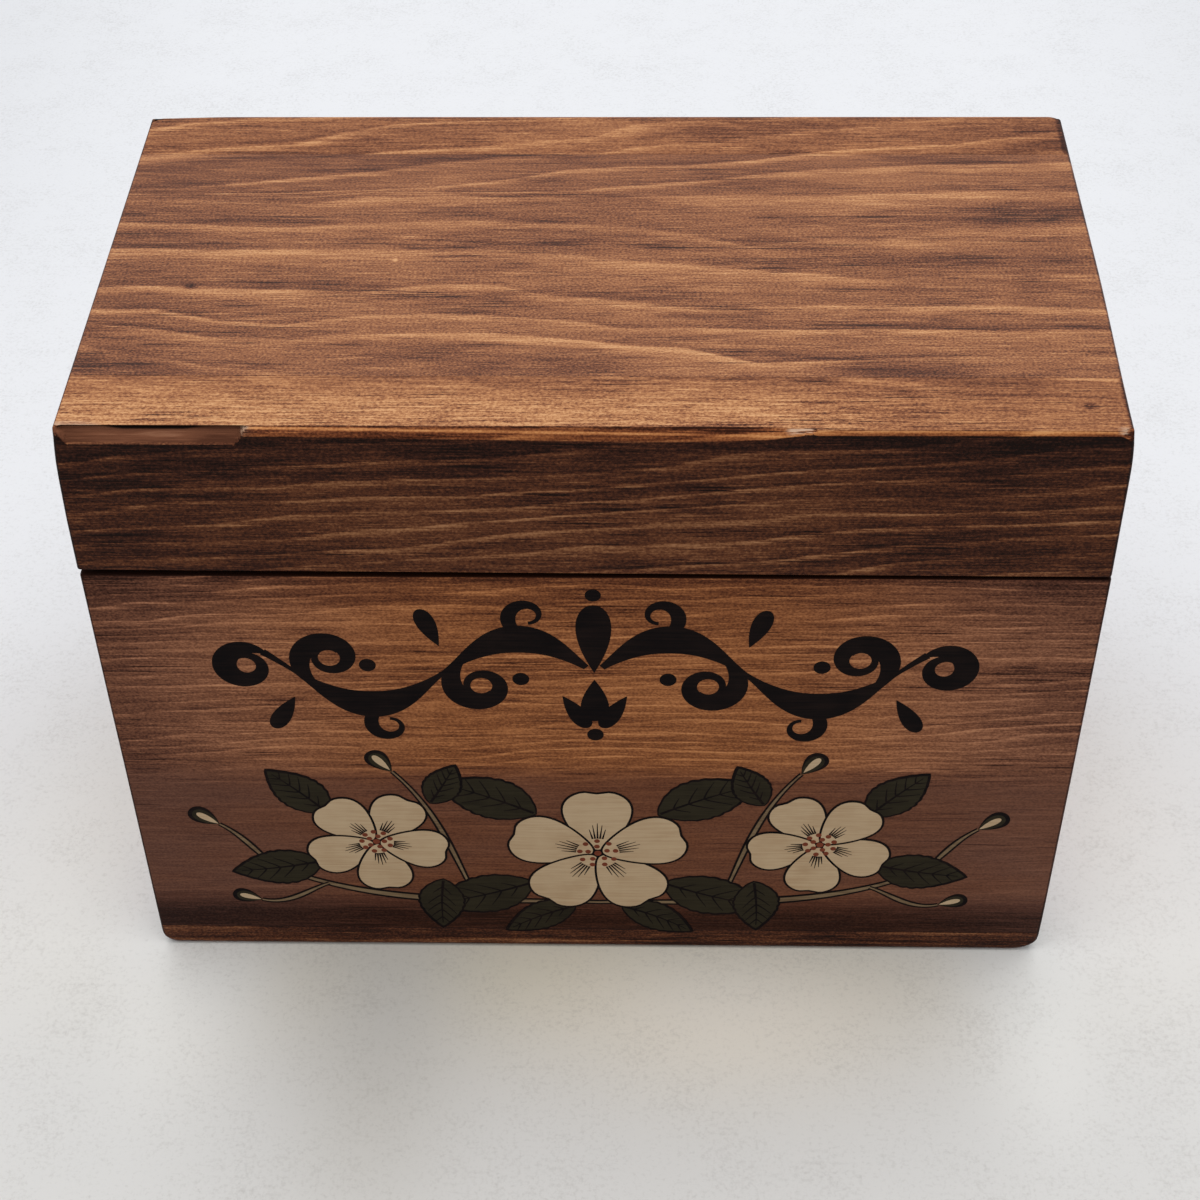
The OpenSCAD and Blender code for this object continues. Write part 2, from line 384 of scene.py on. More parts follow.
def sanded(x, outlines, seed):
    """Presses the hollows of hand sanding into the outer face: a slow wave along
    the board plus one up it, fading out over the face depths."""
    depth, height = outlines[..., 0], outlines[..., 1]
    along = wander(x, seed, RIPPLE_ALONG, RIPPLE)[:, None]
    upward = wander(height[len(x) // 2], seed + 1, RIPPLE_UP, RIPPLE)[None, :]
    face = 1 - ramp(depth, *FACE_DEPTHS)
    outlines[..., 0] = depth + face * (SANDED + along + upward)
    return outlines


faces = {}
body_rounds = (JOINT_EASE, RIM_EASE, RIM_EASE, SEAM_EASE)
for side, word, slot, corners, bow in (
    (-1, "front", "front_wood", FRONT_CORNERS, 0.0),
    (1, "back", "side_wood", BACK_CORNERS, 0.5),
):
    x, outlines = lapped_board(
        level_at(FOOT_Z), level_at(SEAM_Z), body_rounds, corners,
        (JOINT_EASE, JOINT_EASE), (SEAM_EASE, SEAM_EASE), None, bow=bow,
    )
    grid = along_x(side, x, sanded(x, outlines, 4 + side))
    faces[word] = place(
        loft(word + "_board_shaped", grid), "body", slot, word + "_board"
    )


# %% [markdown]
# ## Side boards
# The sides are shorter boards that run from lap to lap. Only their joints
# show as fine lines on the ends of the box, so their edges are eased by
# about a tenth of a millimetre.

# %% Side boards of the body
SIDE_MARGIN, SIDE_STEP = 0.5, 2.0


def side_board(side, z0, z1, rounds):
    """Outlines of a side board, carried along Y between the laps: the rounded
    rectangle of its thickness and height."""
    y = np.unique(np.concatenate([
        np.arange(side_low[1] + SIDE_MARGIN, side_high[1] - SIDE_MARGIN, SIDE_STEP),
        side_low[1] + JOINT_EASE * np.linspace(0, 1, 4),
        side_high[1] - JOINT_EASE * np.linspace(0, 1, 4),
    ]))
    from_end = np.minimum(y - side_low[1], side_high[1] - y)
    ease = fall_back(from_end, JOINT_EASE)
    thick = HALF_X - LAP_X
    outlines = rounded_outline(
        ease, thick, z0, z1, rounds,
        bottom=(2.0, 5.0), inner=np.linspace(z0 + 2, z1 - 2, 6),
        top=(5.0, 2.0), outer=cosine_shares(20),
    )
    depth, height = outlines[..., 0], outlines[..., 1]
    along = np.broadcast_to(y[:, None], depth.shape)
    return drawn_in(np.stack([side * (HALF_X - depth), along, height], -1))


sides = {}
for side, word in ((-1, "left"), (1, "right")):
    sides[word] = place(
        loft(
            word + "_board_shaped",
            side_board(side, FOOT_Z, SEAM_Z, body_rounds),
        ),
        "body", "side_wood", word + "_board",
    )


# %% [markdown]
# ## The bottom panel
# The panel lies under all four walls, and its edges are the foot of the box.
# Its short edges have taken most of the sanding: they are well rounded, and
# the right-hand one runs up more slowly than the left.
#
# The underside was sanded a little hollow, as such panels are, so the box
# stands on its rim. That leaves the heads of the eight brads, which are sunk
# by 0.2 mm, just proud of the wood.

# %% The bottom panel
HOLLOW, RIM, RIM_ENDS, RIM_SLOPE = 0.27, 3.2, 1.8, 1.6
FOOT_ROUND, FOOT_LEFT, FOOT_RIGHT, RIGHT_RISE = 1.15, 2.8, 4.4, 0.75
UNDER = np.concatenate([(-39.5, -39, -38.5), np.linspace(-38, 38, 39), (38.5, 39, 39.5)])

x = stations()
foot_rise = fall_back(x - ENDS[0], FOOT_LEFT) + RIGHT_RISE * fall_back(ENDS[1] - x, FOOT_RIGHT)
foot_round = np.minimum(FOOT_ROUND, 0.9 * (FOOT_Z - foot_rise))
outlines = rounded_outline(
    end_fall(x, ENDS, FRONT_CORNERS) - FACE_Y, FACE_Y - end_fall(x, ENDS, BACK_CORNERS),
    foot_rise, np.full_like(x, FOOT_Z),
    (foot_round, foot_round, JOINT_EASE, JOINT_EASE),
    bottom=UNDER, inner=(1.5, 2.6, 3.8, 4.4),
    top=np.linspace(38, -38, 9), outer=(0.07, 0.2, 0.5, 0.8, 0.93),
)
grid = carried(x, outlines)
within = np.minimum(
    FACE_Y - RIM - abs(grid[..., 1]), HALF_X - RIM_ENDS - abs(grid[..., 0])
)
grid[..., 2] += HOLLOW * ramp(within, 0, RIM_SLOPE) * (grid[..., 2] < 1)
bottom_panel = place(
    loft("bottom_panel_shaped", drawn_in(grid)), "body", "bottom_wood", "bottom_panel"
)

# %% [markdown]
# ## The chipped rail
# The lid's front edge has been knocked about. Most of it is worn to a slope
# that starts at a crisp line on the top and widens to the right, where it
# ends in a torn splinter. At the left corner a flake is gone from below a
# thin lip of the top face, which leaves a crack over a smooth break with
# pale splinters at its right end; the crack is painted nearly black as the
# shade under the lip. Slope and break are both cuts: a limit says how deep
# the wood begins at each height, and points in front of it are moved back
# onto it.

# %% Where the wood begins at each height below the top
EDGE_X = (-76, -46, -34, -12, 0, 12, 19, 25, 29, 31.4, 32, 74.4, 76.2)
EDGE_DEPTH = (0.98, 0.98, 0.98, 0.98, 0.98, 0.99, 1.0, 0.97, 0.88, 0.7, 0.42, 0.42, 1.5)
EDGE_DROP = (1.2, 1.2, 1.4, 1.8, 2.05, 2.1, 2.0, 1.55, 0.85, 0.5, 0.9, 0.9, 1.8)
SLOPE_RUN, SLOPE = (0, 0.33, 0.7, 0.93, 1.0), (1, 0.62, 0.24, 0.07, 0)
CHIP_DROP = (-0.1, 0.0, 0.12, 0.3, 0.5, 0.9, 2.2, 2.45, 2.7)
CHIP_DEPTH = (1.02, 1.06, 1.1, 1.75, 1.7, 1.25, 0.42, 0.2, -0.1)
CHIP_LEFT, CHIP_RIGHT = -75.3, -48.3
CHIP_LEAN, LEAN_FROM = 0.75, 0.7


def cut(outlines, limit, share):
    """Moves points in front of the limit depth back to it, by a share; gives how
    far each one moved."""
    moved = share * np.maximum(limit - outlines[..., 0], 0)
    outlines[..., 0] = outlines[..., 0] + moved
    return moved


LID_TILT = 0.28


def lid_foot(x):
    """Lower edge of the lid, which hangs a little higher at its left end."""
    return LID_Z - LID_TILT * x / HALF_X


# %% The front rail
FINE_STRETCHES = ((-76, -46, 0.3), (25, 33, 0.2))
x, outlines = lapped_board(
    lid_foot, level_at(TOP_Z), (SEAM_EASE, RIM_EASE, JOINT_EASE, 0.3), FRONT_CORNERS,
    (SEAM_EASE, SEAM_EASE), TOP_CORNERS, DECK_Z, FINE_STRETCHES,
)
outlines = sanded(x, outlines, 7)
across, drop = x[:, None], TOP_Z - outlines[..., 1]
splinter = wander(x, 31, 5, 0.35)[:, None]
chip_end = across + drop + splinter - CHIP_RIGHT
chip_start = across - CHIP_LEFT - CHIP_LEAN * np.maximum(drop - LEAN_FROM, 0)
in_chip = ramp(chip_start, -0.6, 0.4) * (1 - ramp(chip_end, -0.3, 0.3))
run = drop / np.interp(across, EDGE_X, EDGE_DROP)
reach = np.interp(across, EDGE_X, EDGE_DEPTH) * (1 + wander(x, 41, 11, 0.05))[:, None]
cut(outlines, np.interp(run, SLOPE_RUN, SLOPE) * reach, 1 - in_chip)
torn = cut(outlines, np.interp(drop, CHIP_DROP, CHIP_DEPTH), in_chip)

# %% [markdown]
# The finish has to know where the wood is torn, where the painted shade of
# the crack lies and where raw splinters stand up. These are kept on the mesh
# as numbers from 0 to about 1: a smooth rise and fall along the edge, times
# another one down from the top.

# %% Marks of the damage
WIDER_X = (-70, -66, -58, -54)
LIFTED_X, LIFTED_RUN = (27.2, 28.6, 30.9, 31.5), (0.02, 0.2, 0.5, 0.8)
CORNER_X = (73.8, 74.4, 74.9, 75.5)
TORN_FULL, END_WIDTH = 0.15, 0.34

depth, on_top = outlines[..., 0], drop < 0.02
gap = 1 + 0.55 * span(across, *WIDER_X)
chip_end_mark = (
    0.9 * np.exp(-((chip_end / END_WIDTH) ** 2)) * (1 - ramp(drop, 0.5, 1.3))
    * (depth < 1.9) * ~on_top
)
lip_mark = 1.6 * on_top * (1 - ramp(across, -72.5, -68.5)) * (1 - ramp(depth, 0.9, 2.1))
lifted_mark = 1.3 * span(across, *LIFTED_X) * span(run, *LIFTED_RUN)
corner_mark = 0.8 * span(across, *CORNER_X) * (drop < 0.5) * (1 - ramp(depth, 0.9, 1.4))
marks = {
    "torn": np.clip(torn / TORN_FULL, 0, 1) * ~on_top,
    # The crack mark says where painted shade lies under the lip of the chip.
    "crack": in_chip * (drop > 0.05) * (1 - ramp(drop, 0.3 * gap, 0.8 * gap)) * (depth > 0.7),
    "pale": chip_end_mark + lip_mark + lifted_mark + corner_mark,
}
lid_front_rail = place(
    loft("lid_front_rail_shaped", along_x(-1, x, outlines), marks),
    "lid", "lid_wood", "lid_front_rail",
)
print("the deepest part of the chip moved back", round(float(torn.max()), 2), "mm")

# %% [markdown]
# ## The rest of the lid
# The back rail is the front rail without the damage. The side rails stop
# under the top board, whose long edges meet the rails flush and whose ends
# show on the ends of the box.

# %% The back rail and the side rails
BACK_EDGE = 1.2

x, outlines = lapped_board(
    lid_foot, level_at(TOP_Z), (SEAM_EASE, RIM_EASE, JOINT_EASE, BACK_EDGE), BACK_CORNERS,
    (SEAM_EASE, SEAM_EASE), TOP_CORNERS, DECK_Z, bow=0.5,
)
lid_back_rail = place(
    loft("lid_back_rail_shaped", along_x(1, x, sanded(x, outlines, 9))),
    "lid", "lid_wood", "lid_back_rail",
)
for side, word in ((-1, "left"), (1, "right")):
    foot_z = float(lid_foot(np.array(side * HALF_X)))
    sides["lid_" + word] = place(
        loft(
            "lid_" + word + "_rail_shaped",
            side_board(
                side, foot_z, DECK_Z,
                (SEAM_EASE, RIM_EASE, JOINT_EASE, JOINT_EASE),
            ),
        ),
        "lid", "side_wood", "lid_" + word + "_rail",
    )


# %% [markdown]
# ## The figure of the top board
# The top is a flat-sawn board. Its yearly rings meet the face at a low
# angle, so they draw long wandering lines with a few hooks and islands. A
# noise alone doesn't give such lines, so the main ones are drawn one by one:
# each is a path of depth against length, and the ring number at any point
# is found between the two paths that enclose it. The number is kept on the
# mesh as an attribute, and the finish turns it into light and dark wood.

# %% Ring lines of the top board
FIGURE_X = (-76, -66, -56, -46, -36, -26, -16, -6, 4, 14, 24, 34, 44, 56, 76)
FIGURE_Y = (
    (-31, -31, -31, -31, -31, -31, -31, -31, -31, -32, -33, -33, -33, -33, -33),
    (-22, -25, -28, -29.5, -30, -30, -30, -30, -30, -30.5, -31, -31, -31, -31, -31),
    (-17, -18.7, -20.8, -21, -19.4, -18.3, -19, -20.8, -22, -23, -26.5, -25.7, -25.3, -25, -25),
    (-14, -13.7, -16.5, -17.2, -15.2, -14.8, -15.2, -16.2, -18.5, -18.2, -18.7, -18.2, -18.3, -18.4, -18.2),
    (-7.8, -7.5, -7.4, -7.8, -8.7, -7.3, -7, -10.3, -12, -12.8, -12.7, -12.2, -11.9, -11.7, -12.9),
    (2.9, 2.8, 2.6, 2.8, 2.9, 2.4, 2.8, 2.2, -0.7, -1.5, -2.9, -4, -5.4, -3.7, -4),
    (10.1, 9.9, 9.4, 9.1, 9.5, 10.6, 11.1, 10.3, 9.8, 6.6, 3.5, 6, 6.3, 9.2, 9.8),
    (17.2, 17, 16.3, 16.5, 18.2, 18, 17.9, 17.5, 17.2, 17.7, 17.9, 17.9, 18.5, 19, 19.5),
    (17.5, 17.4, 17.1, 17.4, 18.7, 18.6, 18.5, 18.5, 20.3, 21.6, 23.8, 25.4, 26.3, 27.5, 28.1),
    (17.9, 18, 18.2, 18.6, 19.2, 20.2, 22, 25.3, 26.9, 26.9, 28.4, 30.6, 31.2, 31.9, 33.5),
    (19.1, 20, 21.6, 23.3, 25.1, 27.7, 29.6, 31.3, 31.9, 33, 34.5, 35.4, 35.6, 36, 36.5),
    (31, 31.5, 32.5, 34, 35, 36, 37, 38, 38.5, 39, 39.5, 40, 40.3, 40.5, 41),
    (40, 40.5, 41, 42, 43, 44, 45, 45, 45, 45, 45, 45, 46, 46, 46),
)
RING_DEPTH, RING_WIDTH = 3.2, 5.0


def ring_number(x, y, z):
    """Ring number in the top board: the count of drawn paths in front of the
    point, shares of a gap included, plus the depth below the top over the ring
    depth. Beyond the first and last path, rings are RING_WIDTH apart."""
    paths = np.stack([np.interp(x, FIGURE_X, row) for row in FIGURE_Y])
    gaps = np.diff(paths, axis=0)
    shares = np.clip((y[None] - paths[:-1]) / gaps, 0, 1)
    front = np.minimum((y - paths[0]) / RING_WIDTH, 0)
    back = np.maximum((y - paths[-1]) / RING_WIDTH, 0)
    return shares.sum(0) + front + back + (TOP_Z - z) / RING_DEPTH


x = stations()
outlines = rounded_outline(
    np.full_like(x, top_low[1]), np.full_like(x, top_high[1]),
    np.full_like(x, DECK_Z), TOP_Z - end_fall(x, ENDS, TOP_CORNERS),
    (JOINT_EASE,) * 4,
    bottom=np.linspace(-29, 29, 13), inner=(105, 107, 109, 111),
    top=np.linspace(29.6, -29.6, 75), outer=(0.2, 0.4, 0.6, 0.8),
)
grid = carried(x, outlines)
lid_top_board = place(
    loft(
        "lid_top_board_shaped", drawn_in(grid),
        {"ring": ring_number(grid[..., 0], grid[..., 1], grid[..., 2])},
    ),
    "lid", "top_wood", "lid_top_board",
)

# %% [markdown]
# ## Hinges, screws and brads
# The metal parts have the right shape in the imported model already, only
# with knife-sharp edges. A copy of each mesh is merged, because the packed
# one is loose triangles, and a Bevel modifier rounds its edges so that they
# catch the light.

# %% Copies with eased edges
FLAT, SHARP, BEVEL_STEPS = math.radians(2), math.radians(35), 2
LEAF_EASE, SCREW_EASE, PIN_EASE, BRAD_EASE = 0.12, 0.06, 0.08, 0.05


def eased_copy(node, slot, width):
    """Copy of a CAD node with merged points, flat faces joined and edges over 35
    degrees bevelled by width millimetres."""
    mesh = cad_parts[node].data.copy()
    mesh.name = node + "_eased"
    work = bmesh.new()
    work.from_mesh(mesh)
    bmesh.ops.remove_doubles(work, verts=work.verts, dist=MERGE)
    bmesh.ops.dissolve_limit(work, angle_limit=FLAT, verts=work.verts, edges=work.edges)
    for face in work.faces:
        face.smooth = True
    work.to_mesh(mesh)
    work.free()
    mesh.materials.clear()
    mesh.set_sharp_from_angle(angle=SHARP)
    body = "lid" if "upper" in node else "body"
    piece = place(mesh, body, slot, node)
    bevel = piece.modifiers.new("eased edges", "BEVEL")
    bevel.width, bevel.segments = width * MM, BEVEL_STEPS
    bevel.limit_method, bevel.angle_limit = "ANGLE", SHARP
    return piece


brass_pieces = [
    eased_copy(f"{word}_hinge_{level}_leaf", "hinge_brass", LEAF_EASE)
    for word in ("left", "right") for level in ("lower", "upper")
]
brass_pieces += [
    eased_copy(f"{level}_hinge_screws", "hinge_brass", SCREW_EASE)
    for level in ("lower", "upper")
]
pin_pieces = [
    eased_copy(f"{word}_hinge_pin", "pin_steel", PIN_EASE) for word in ("left", "right")
]
brad_pieces = [eased_copy("bottom_brads", "brad_steel", BRAD_EASE)]

# %% [markdown]
# ## The print on the front
# The ornament is a printed transfer: thick and thin black pen strokes above,
# and a garland of cream blossoms with dark leaves below. It could be a
# picture on the board, but shapes stay sharp at any size. Each stroke is a
# thin bar carried along a path whose curl grows steadily, which is how a pen
# draws a scroll, and each petal or leaf is a closed outline with a hair of
# thickness. Every next layer lies a thousandth of a millimetre higher.

# %% Strokes and scrolls
def scroll(start, heading, curl, length, thin, thick, swell=1.0, steps=72):
    """Pen stroke of growing curl. The heading turns by the integral of a curl
    that runs evenly from curl[0] to curl[1] (degrees for the whole stroke), the
    path is the running sum of equal steps, and the width is
    thin + (thick - thin) sin^2(pi s^swell). Gives the path and half the width."""
    s = np.linspace(0, 1, steps)
    angle = np.radians(heading + curl[0] * s + 0.5 * (curl[1] - curl[0]) * s * s)
    ahead = np.stack([np.cos(angle), np.sin(angle)], -1)
    middle = 0.5 * (ahead[1:] + ahead[:-1]) * length / (steps - 1)
    path = np.asarray(start) + np.concatenate([[(0, 0)], np.cumsum(middle, 0)])
    width = thin + (thick - thin) * np.sin(np.pi * s**swell) ** 2
    return path, 0.5 * width


def stroke(path, half):
    """Left and right edge of a path: the points moved by half a width along the normal."""
    ahead = np.gradient(path, axis=0)
    ahead /= np.linalg.norm(ahead, axis=1, keepdims=True)
    normal = np.stack([-ahead[:, 1], ahead[:, 0]], -1)
    return path + normal * half[:, None], path - normal * half[:, None]


# %% Drops and dots
def turned(origin, heading, along, across):
    """Points given along and across a heading in degrees, placed at an origin."""
    a = math.radians(heading)
    return np.stack([
        origin[0] + along * math.cos(a) - across * math.sin(a),
        origin[1] + along * math.sin(a) + across * math.cos(a),
    ], -1)


def teardrop(tip, heading, length, width, steps=40):
    """Teardrop outline with its point at the tip: along is half the length times
    1 - cos t, across is 0.65 times the width times sin t |sin(t / 2)|."""
    t = np.linspace(0, 2 * np.pi, steps, endpoint=False)
    along = 0.5 * length * (1 - np.cos(t))
    across = 0.65 * width * np.sin(t) * np.abs(np.sin(t / 2))
    return turned(tip, heading, along, across)


def dot(centre, radius, steps=24):
    """Round outline of a radius about a centre."""
    t = np.linspace(0, 2 * np.pi, steps, endpoint=False)
    return turned(centre, 0, radius * np.cos(t), radius * np.sin(t))


print("a dot of radius 1 has", len(dot((0, 0), 1)), "points")

# %% Petals and leaves
PETAL_DENT, DENT_WIDTH = 0.05, 0.22
TEETH, TOOTH = 9, 0.07


def petal(centre, heading, reach, width, grow=0.0, steps=48):
    """Rounded petal: along runs from 6 % to 100 % of the reach as (1 - cos t) / 2
    does, across is half the width times sin t (0.74 - 0.34 cos t), which is fuller
    towards the tip, and a small bell dents the tip. Grow is an outline's margin."""
    t = np.linspace(0, 2 * np.pi, steps, endpoint=False)
    along = reach * (0.06 + 0.47 * (1 - np.cos(t))) - grow * np.cos(t)
    across = (0.5 * width * (0.74 - 0.34 * np.cos(t)) + grow) * np.sin(t)
    dent = PETAL_DENT * reach * np.exp(-((t - np.pi) / DENT_WIDTH) ** 2)
    return turned(centre, heading, along - dent, across)


def leaf(base, heading, length, width, bend=0.0, grow=0.0, steps=60):
    """Pointed leaf: along is the length times s, across is half the width times
    sin(pi s^0.85)^0.9 with small teeth, and bend curves it sideways as s^2. Grow
    is an outline's margin."""
    s = np.concatenate([np.linspace(0, 1, steps // 2), np.linspace(1, 0, steps // 2)[1:-1]])
    edge = np.where(np.arange(s.size) < steps // 2, 1, -1)
    body = np.sin(np.pi * s**0.85) ** 0.9
    teeth = 1 + TOOTH * np.abs(np.sin(np.pi * TEETH * s))
    half = 0.5 * width * body * teeth + grow * np.sqrt(np.maximum(body, 0.0))
    across = edge * half + bend * s * s
    along = length * s + grow * (2.2 * s - 0.6)
    return turned(base, heading, along, across)


PAIRS = 5


def leaf_veins(base, heading, length, width, bend):
    """Middle vein through (length s, bend s^2), and pairs of side veins that leave
    it at about 40 degrees."""
    s = np.linspace(0.02, 0.93, 24)
    middle = turned(base, heading, length * s, bend * s * s)
    veins = [(middle, np.linspace(0.26, 0.08, s.size))]
    for k in range(1, PAIRS + 1):
        at = k / (PAIRS + 1.2)
        out = np.linspace(0, 1, 8)
        reach = 0.36 * width * math.sin(math.pi * at**0.85)
        for edge in (-1, 1):
            along = length * at + out * reach * 1.1
            across = bend * (along / length) ** 2 + edge * out**0.85 * reach
            veins.append((turned(base, heading, along, across), np.linspace(0.16, 0.06, 8)))
    return veins


# %% The stack of inks
LAYER, BACKING = 0.0009, 0.09
inks = {}
layers_laid = [0]


def lay(ink, shape, flip=False, new_layer=False):
    """Adds a shape to an ink, with its front at the layer's height: a closed
    outline as two rows of points, or a stroke (path, half widths) as a bar of
    four edges."""
    layers_laid[0] += new_layer
    front = -(FACE_Y + LAYER * (1 + layers_laid[0]))
    back = -(FACE_Y - BACKING)
    mirror = np.array((-1 if flip else 1, 1))
    if isinstance(shape, tuple):
        left, right = stroke(shape[0] * mirror, shape[1])
        front = front - 0.5 * LAYER * np.linspace(0, 1, len(left))
        rows = [(left, front), (right, front), (right, back), (left, back)]
        axis = 1
    else:
        rows, axis = [(shape * mirror, front), (shape * mirror, back)], 0
    grid = np.stack(
        [np.stack([p[:, 0], y + 0 * p[:, 0], p[:, 1]], -1) for p, y in rows], axis
    )
    inks.setdefault(ink, []).append(grid)


def lay_both(ink, shape, new_layer=False):
    """Lays a shape and its mirror image."""
    lay(ink, shape, False, new_layer)
    lay(ink, shape, True)


# %% The scrolled vine
VINE_Z, WAVE, LIFT = 66.0, 46.0, 7.0


def vine(x):
    """Height of the running stem: a sine of length WAVE and height LIFT."""
    return VINE_Z + LIFT * np.sin(2 * np.pi * x / WAVE)


def curl_from(x, curl, length, thin, thick, swell=0.6):
    """A curl that leaves the stem at x along its slope."""
    slope = 2 * math.pi / WAVE * LIFT * math.cos(2 * math.pi * x / WAVE)
    start = (x, float(vine(x)))
    return scroll(start, math.degrees(math.atan(slope)), curl, length, thin, thick, swell)


VINE_START, VINE_THINNING, VINE_END = 1.2, 44, 50.5
VINE_HALF, VINE_SWELL = 0.4, 2.4

x = np.linspace(VINE_START, VINE_END, 120)
swelling = VINE_HALF + VINE_SWELL * np.abs(np.sin(2 * np.pi * x / WAVE)) ** 1.6
thinner = 1 - 0.5 * ramp(x, VINE_THINNING, VINE_END)
lay_both("black", (np.stack([x, vine(x)], -1), swelling * thinner))
CURLS = (
    # leaves the stem at x, curl at both ends, length, thin, thick, swell
    (19.5, (-200, -900), 31, 0.8, 3.5), (42.5, (200, 900), 31, 0.8, 3.5),
    (50.3, (-330, -700), 26, 0.8, 3.8), (8.5, (60, 620), 17, 0.6, 2.3, 0.8),
    (31.0, (-60, -620), 17, 0.6, 2.3, 0.8),
)
for values in CURLS:
    lay_both("black", curl_from(*values), new_layer=True)
for shape in (
    teardrop((0, 66), 90, 14, 5.4), teardrop((0, 64.5), -90, 9, 4.4),
    dot((0, 52.5), 1.3), dot((0, 82), 1.2),
):
    lay("black", shape, new_layer=True)
for shape in (
    dot((11.3, 64.6), 1.3), dot((34.7, 67.4), 1.3),
    teardrop((5.0, 61.0), 240, 8, 3.0), teardrop((23.5, 71.5), 70, 8, 3.0),
    teardrop((46.5, 60.5), -60, 8, 3.0),
):
    lay_both("black", shape, new_layer=True)
print("the vine has", len(inks["black"]), "strokes")

# %% The garland
PETALS = 5
BLOSSOMS = (
    # centre, reach, heading of the first petal
    (0.0, 24.5, 15.0, 90), (-36.5, 27.0, 12.0, 60), (36.5, 27.0, 12.0, 120),
)
STEM = ((0.0, 12.0), 178, (20, -90), 58, 0.6, 1.4)
TWIGS = (
    # share of the stem where it leaves, heading, curl, length, bud
    (0.36, 108, (-20, 60), 34, 5.2), (0.80, 205, (60, -150), 13, 4.6),
    (0.97, 128, (-30, 60), 13, 5.2),
)
LEAVES = (
    # base, heading, length, width, bend; mirrored too
    ((-10, 34), 150, 17, 8.5, 1.5), ((-11, 17), 205, 18, 8.5, -2),
    ((-26, 17.5), 262, 12, 7, 1), ((-44, 34), 128, 13, 7, 1),
    ((-46, 22), 196, 15, 7.5, -1.5), ((-27, 36.5), 60, 9.5, 5.5, 0.5),
    ((-4, 11), 200, 13, 6, 2),
)
OUTLINE, RIM_INK = 0.4, 0.24


def twig(start, heading, curl, length, thin, thick):
    """A stem with a dark rim on both sides; gives its path."""
    path, half = scroll(start, heading, curl, length, thin, thick)
    lay_both("black", (path, half + RIM_INK), new_layer=True)
    lay_both("twig", (path, half * 0.7), new_layer=True)
    return path


stem = twig(*STEM)
for share, heading, curl, length, bud in TWIGS:
    path = twig(stem[int(share * (len(stem) - 1))], heading, curl, length, 0.4, 0.9)
    ahead = path[-1] - path[-2]
    toward = math.degrees(math.atan2(ahead[1], ahead[0]))
    lay_both("black", teardrop(path[-1], toward, bud + 0.5, 0.72 * bud), new_layer=True)
    lay_both("green", teardrop(path[-1], toward, bud - 0.2, 0.52 * bud), new_layer=True)
    lay_both("cream", teardrop(path[-1] + ahead, toward, bud * 0.8, 0.24 * bud), new_layer=True)
for base, heading, length, width, bend in LEAVES:
    lay_both("black", leaf(base, heading, length, width, bend, OUTLINE), new_layer=True)
    lay_both("green", leaf(base, heading, length, width, bend), new_layer=True)
    for number, vein in enumerate(leaf_veins(base, heading, length, width, bend)):
        lay_both("black", vein, new_layer=number == 0)


# %% The blossoms
RAYS = ((-13, 0.40), (-6.5, 0.46), (0, 0.49), (6.5, 0.46), (13, 0.40))
STAMENS = ((0.11, 5), (0.2, 9))
PETAL_WIDTH, HEART, STAMEN = 0.92, 0.6, 0.48

for cx, cz, reach, first in BLOSSOMS:
    headings = first + 360 / PETALS * np.arange(PETALS)
    for heading in headings:
        width = reach * PETAL_WIDTH
        lay("black", petal((cx, cz), heading, reach, width, OUTLINE), new_layer=True)
        lay("cream", petal((cx, cz), heading, reach, width), new_layer=True)
    rays = [(math.radians(h + turn), out) for h in headings for turn, out in RAYS]
    for number, (a, out) in enumerate(rays):
        along = reach * np.linspace(0.24, out, 6)[:, None]
        path = np.array((cx, cz)) + along * (math.cos(a), math.sin(a))
        lay("black", (path, np.linspace(0.17, 0.05, 6)), new_layer=number == 0)
    lay("red", dot((cx, cz), HEART), new_layer=True)
    for out, count in STAMENS:
        for a in np.arange(count) * 2 * math.pi / count + out * reach:
            centre = (cx + out * reach * math.cos(a), cz + out * reach * math.sin(a))
            lay("red", dot(centre, STAMEN, 12))

prints = {
    ink: place(loft("print_" + ink, grids, merge=0), "body", "front_print")
    for ink, grids in inks.items()
}
print(layers_laid[0], "layers stand", round(LAYER * (layers_laid[0] + 1), 3), "mm proud")

# %% [markdown]
# ## Writing finishes as sums
# A finish is a network of nodes, and most of it is arithmetic. A small class
# wraps an output socket, so that a sum on signals adds its own Math nodes,
# and one method adds any other node: its type, then its settings, then the
# values or signals that go into its sockets.

# %% Signals
class Signal:
    """A value that varies over a surface: one output socket, with + - * / and
    powers that add Math nodes."""

    def __init__(self, finish, socket):
        self.finish, self.socket = finish, socket

    def math(self, operation, *values):
        """Adds one Math node to the finish, with values or signals as its inputs."""
        return self.finish.node(
            "ShaderNodeMath", {"operation": operation}, dict(enumerate(values))
        )

    def __add__(self, other):
        return self.math("ADD", self, other)

    __radd__ = __add__

    def __sub__(self, other):
        return self.math("SUBTRACT", self, other)

    def __rsub__(self, other):
        return self.math("SUBTRACT", other, self)

    def __mul__(self, other):
        return self.math("MULTIPLY", self, other)

    __rmul__ = __mul__

    def __truediv__(self, other):
        return self.math("DIVIDE", self, other)

    def __pow__(self, other):
        return self.math("POWER", self, other)

    def __abs__(self):
        return self.math("ABSOLUTE", self)

    def part(self):
        """What is left above the whole number, from 0 to 1."""
        return self.math("FRACT", self)

    def whole(self):
        """The whole number below the value."""
        return self.math("FLOOR", self)

    def step(self, start, stop):
        """Smooth step from 0 at start to 1 at stop."""
        return self.finish.node(
            "ShaderNodeMapRange",
            {"interpolation_type": "SMOOTHSTEP"},
            {"Value": self, "From Min": start, "From Max": stop},
        )


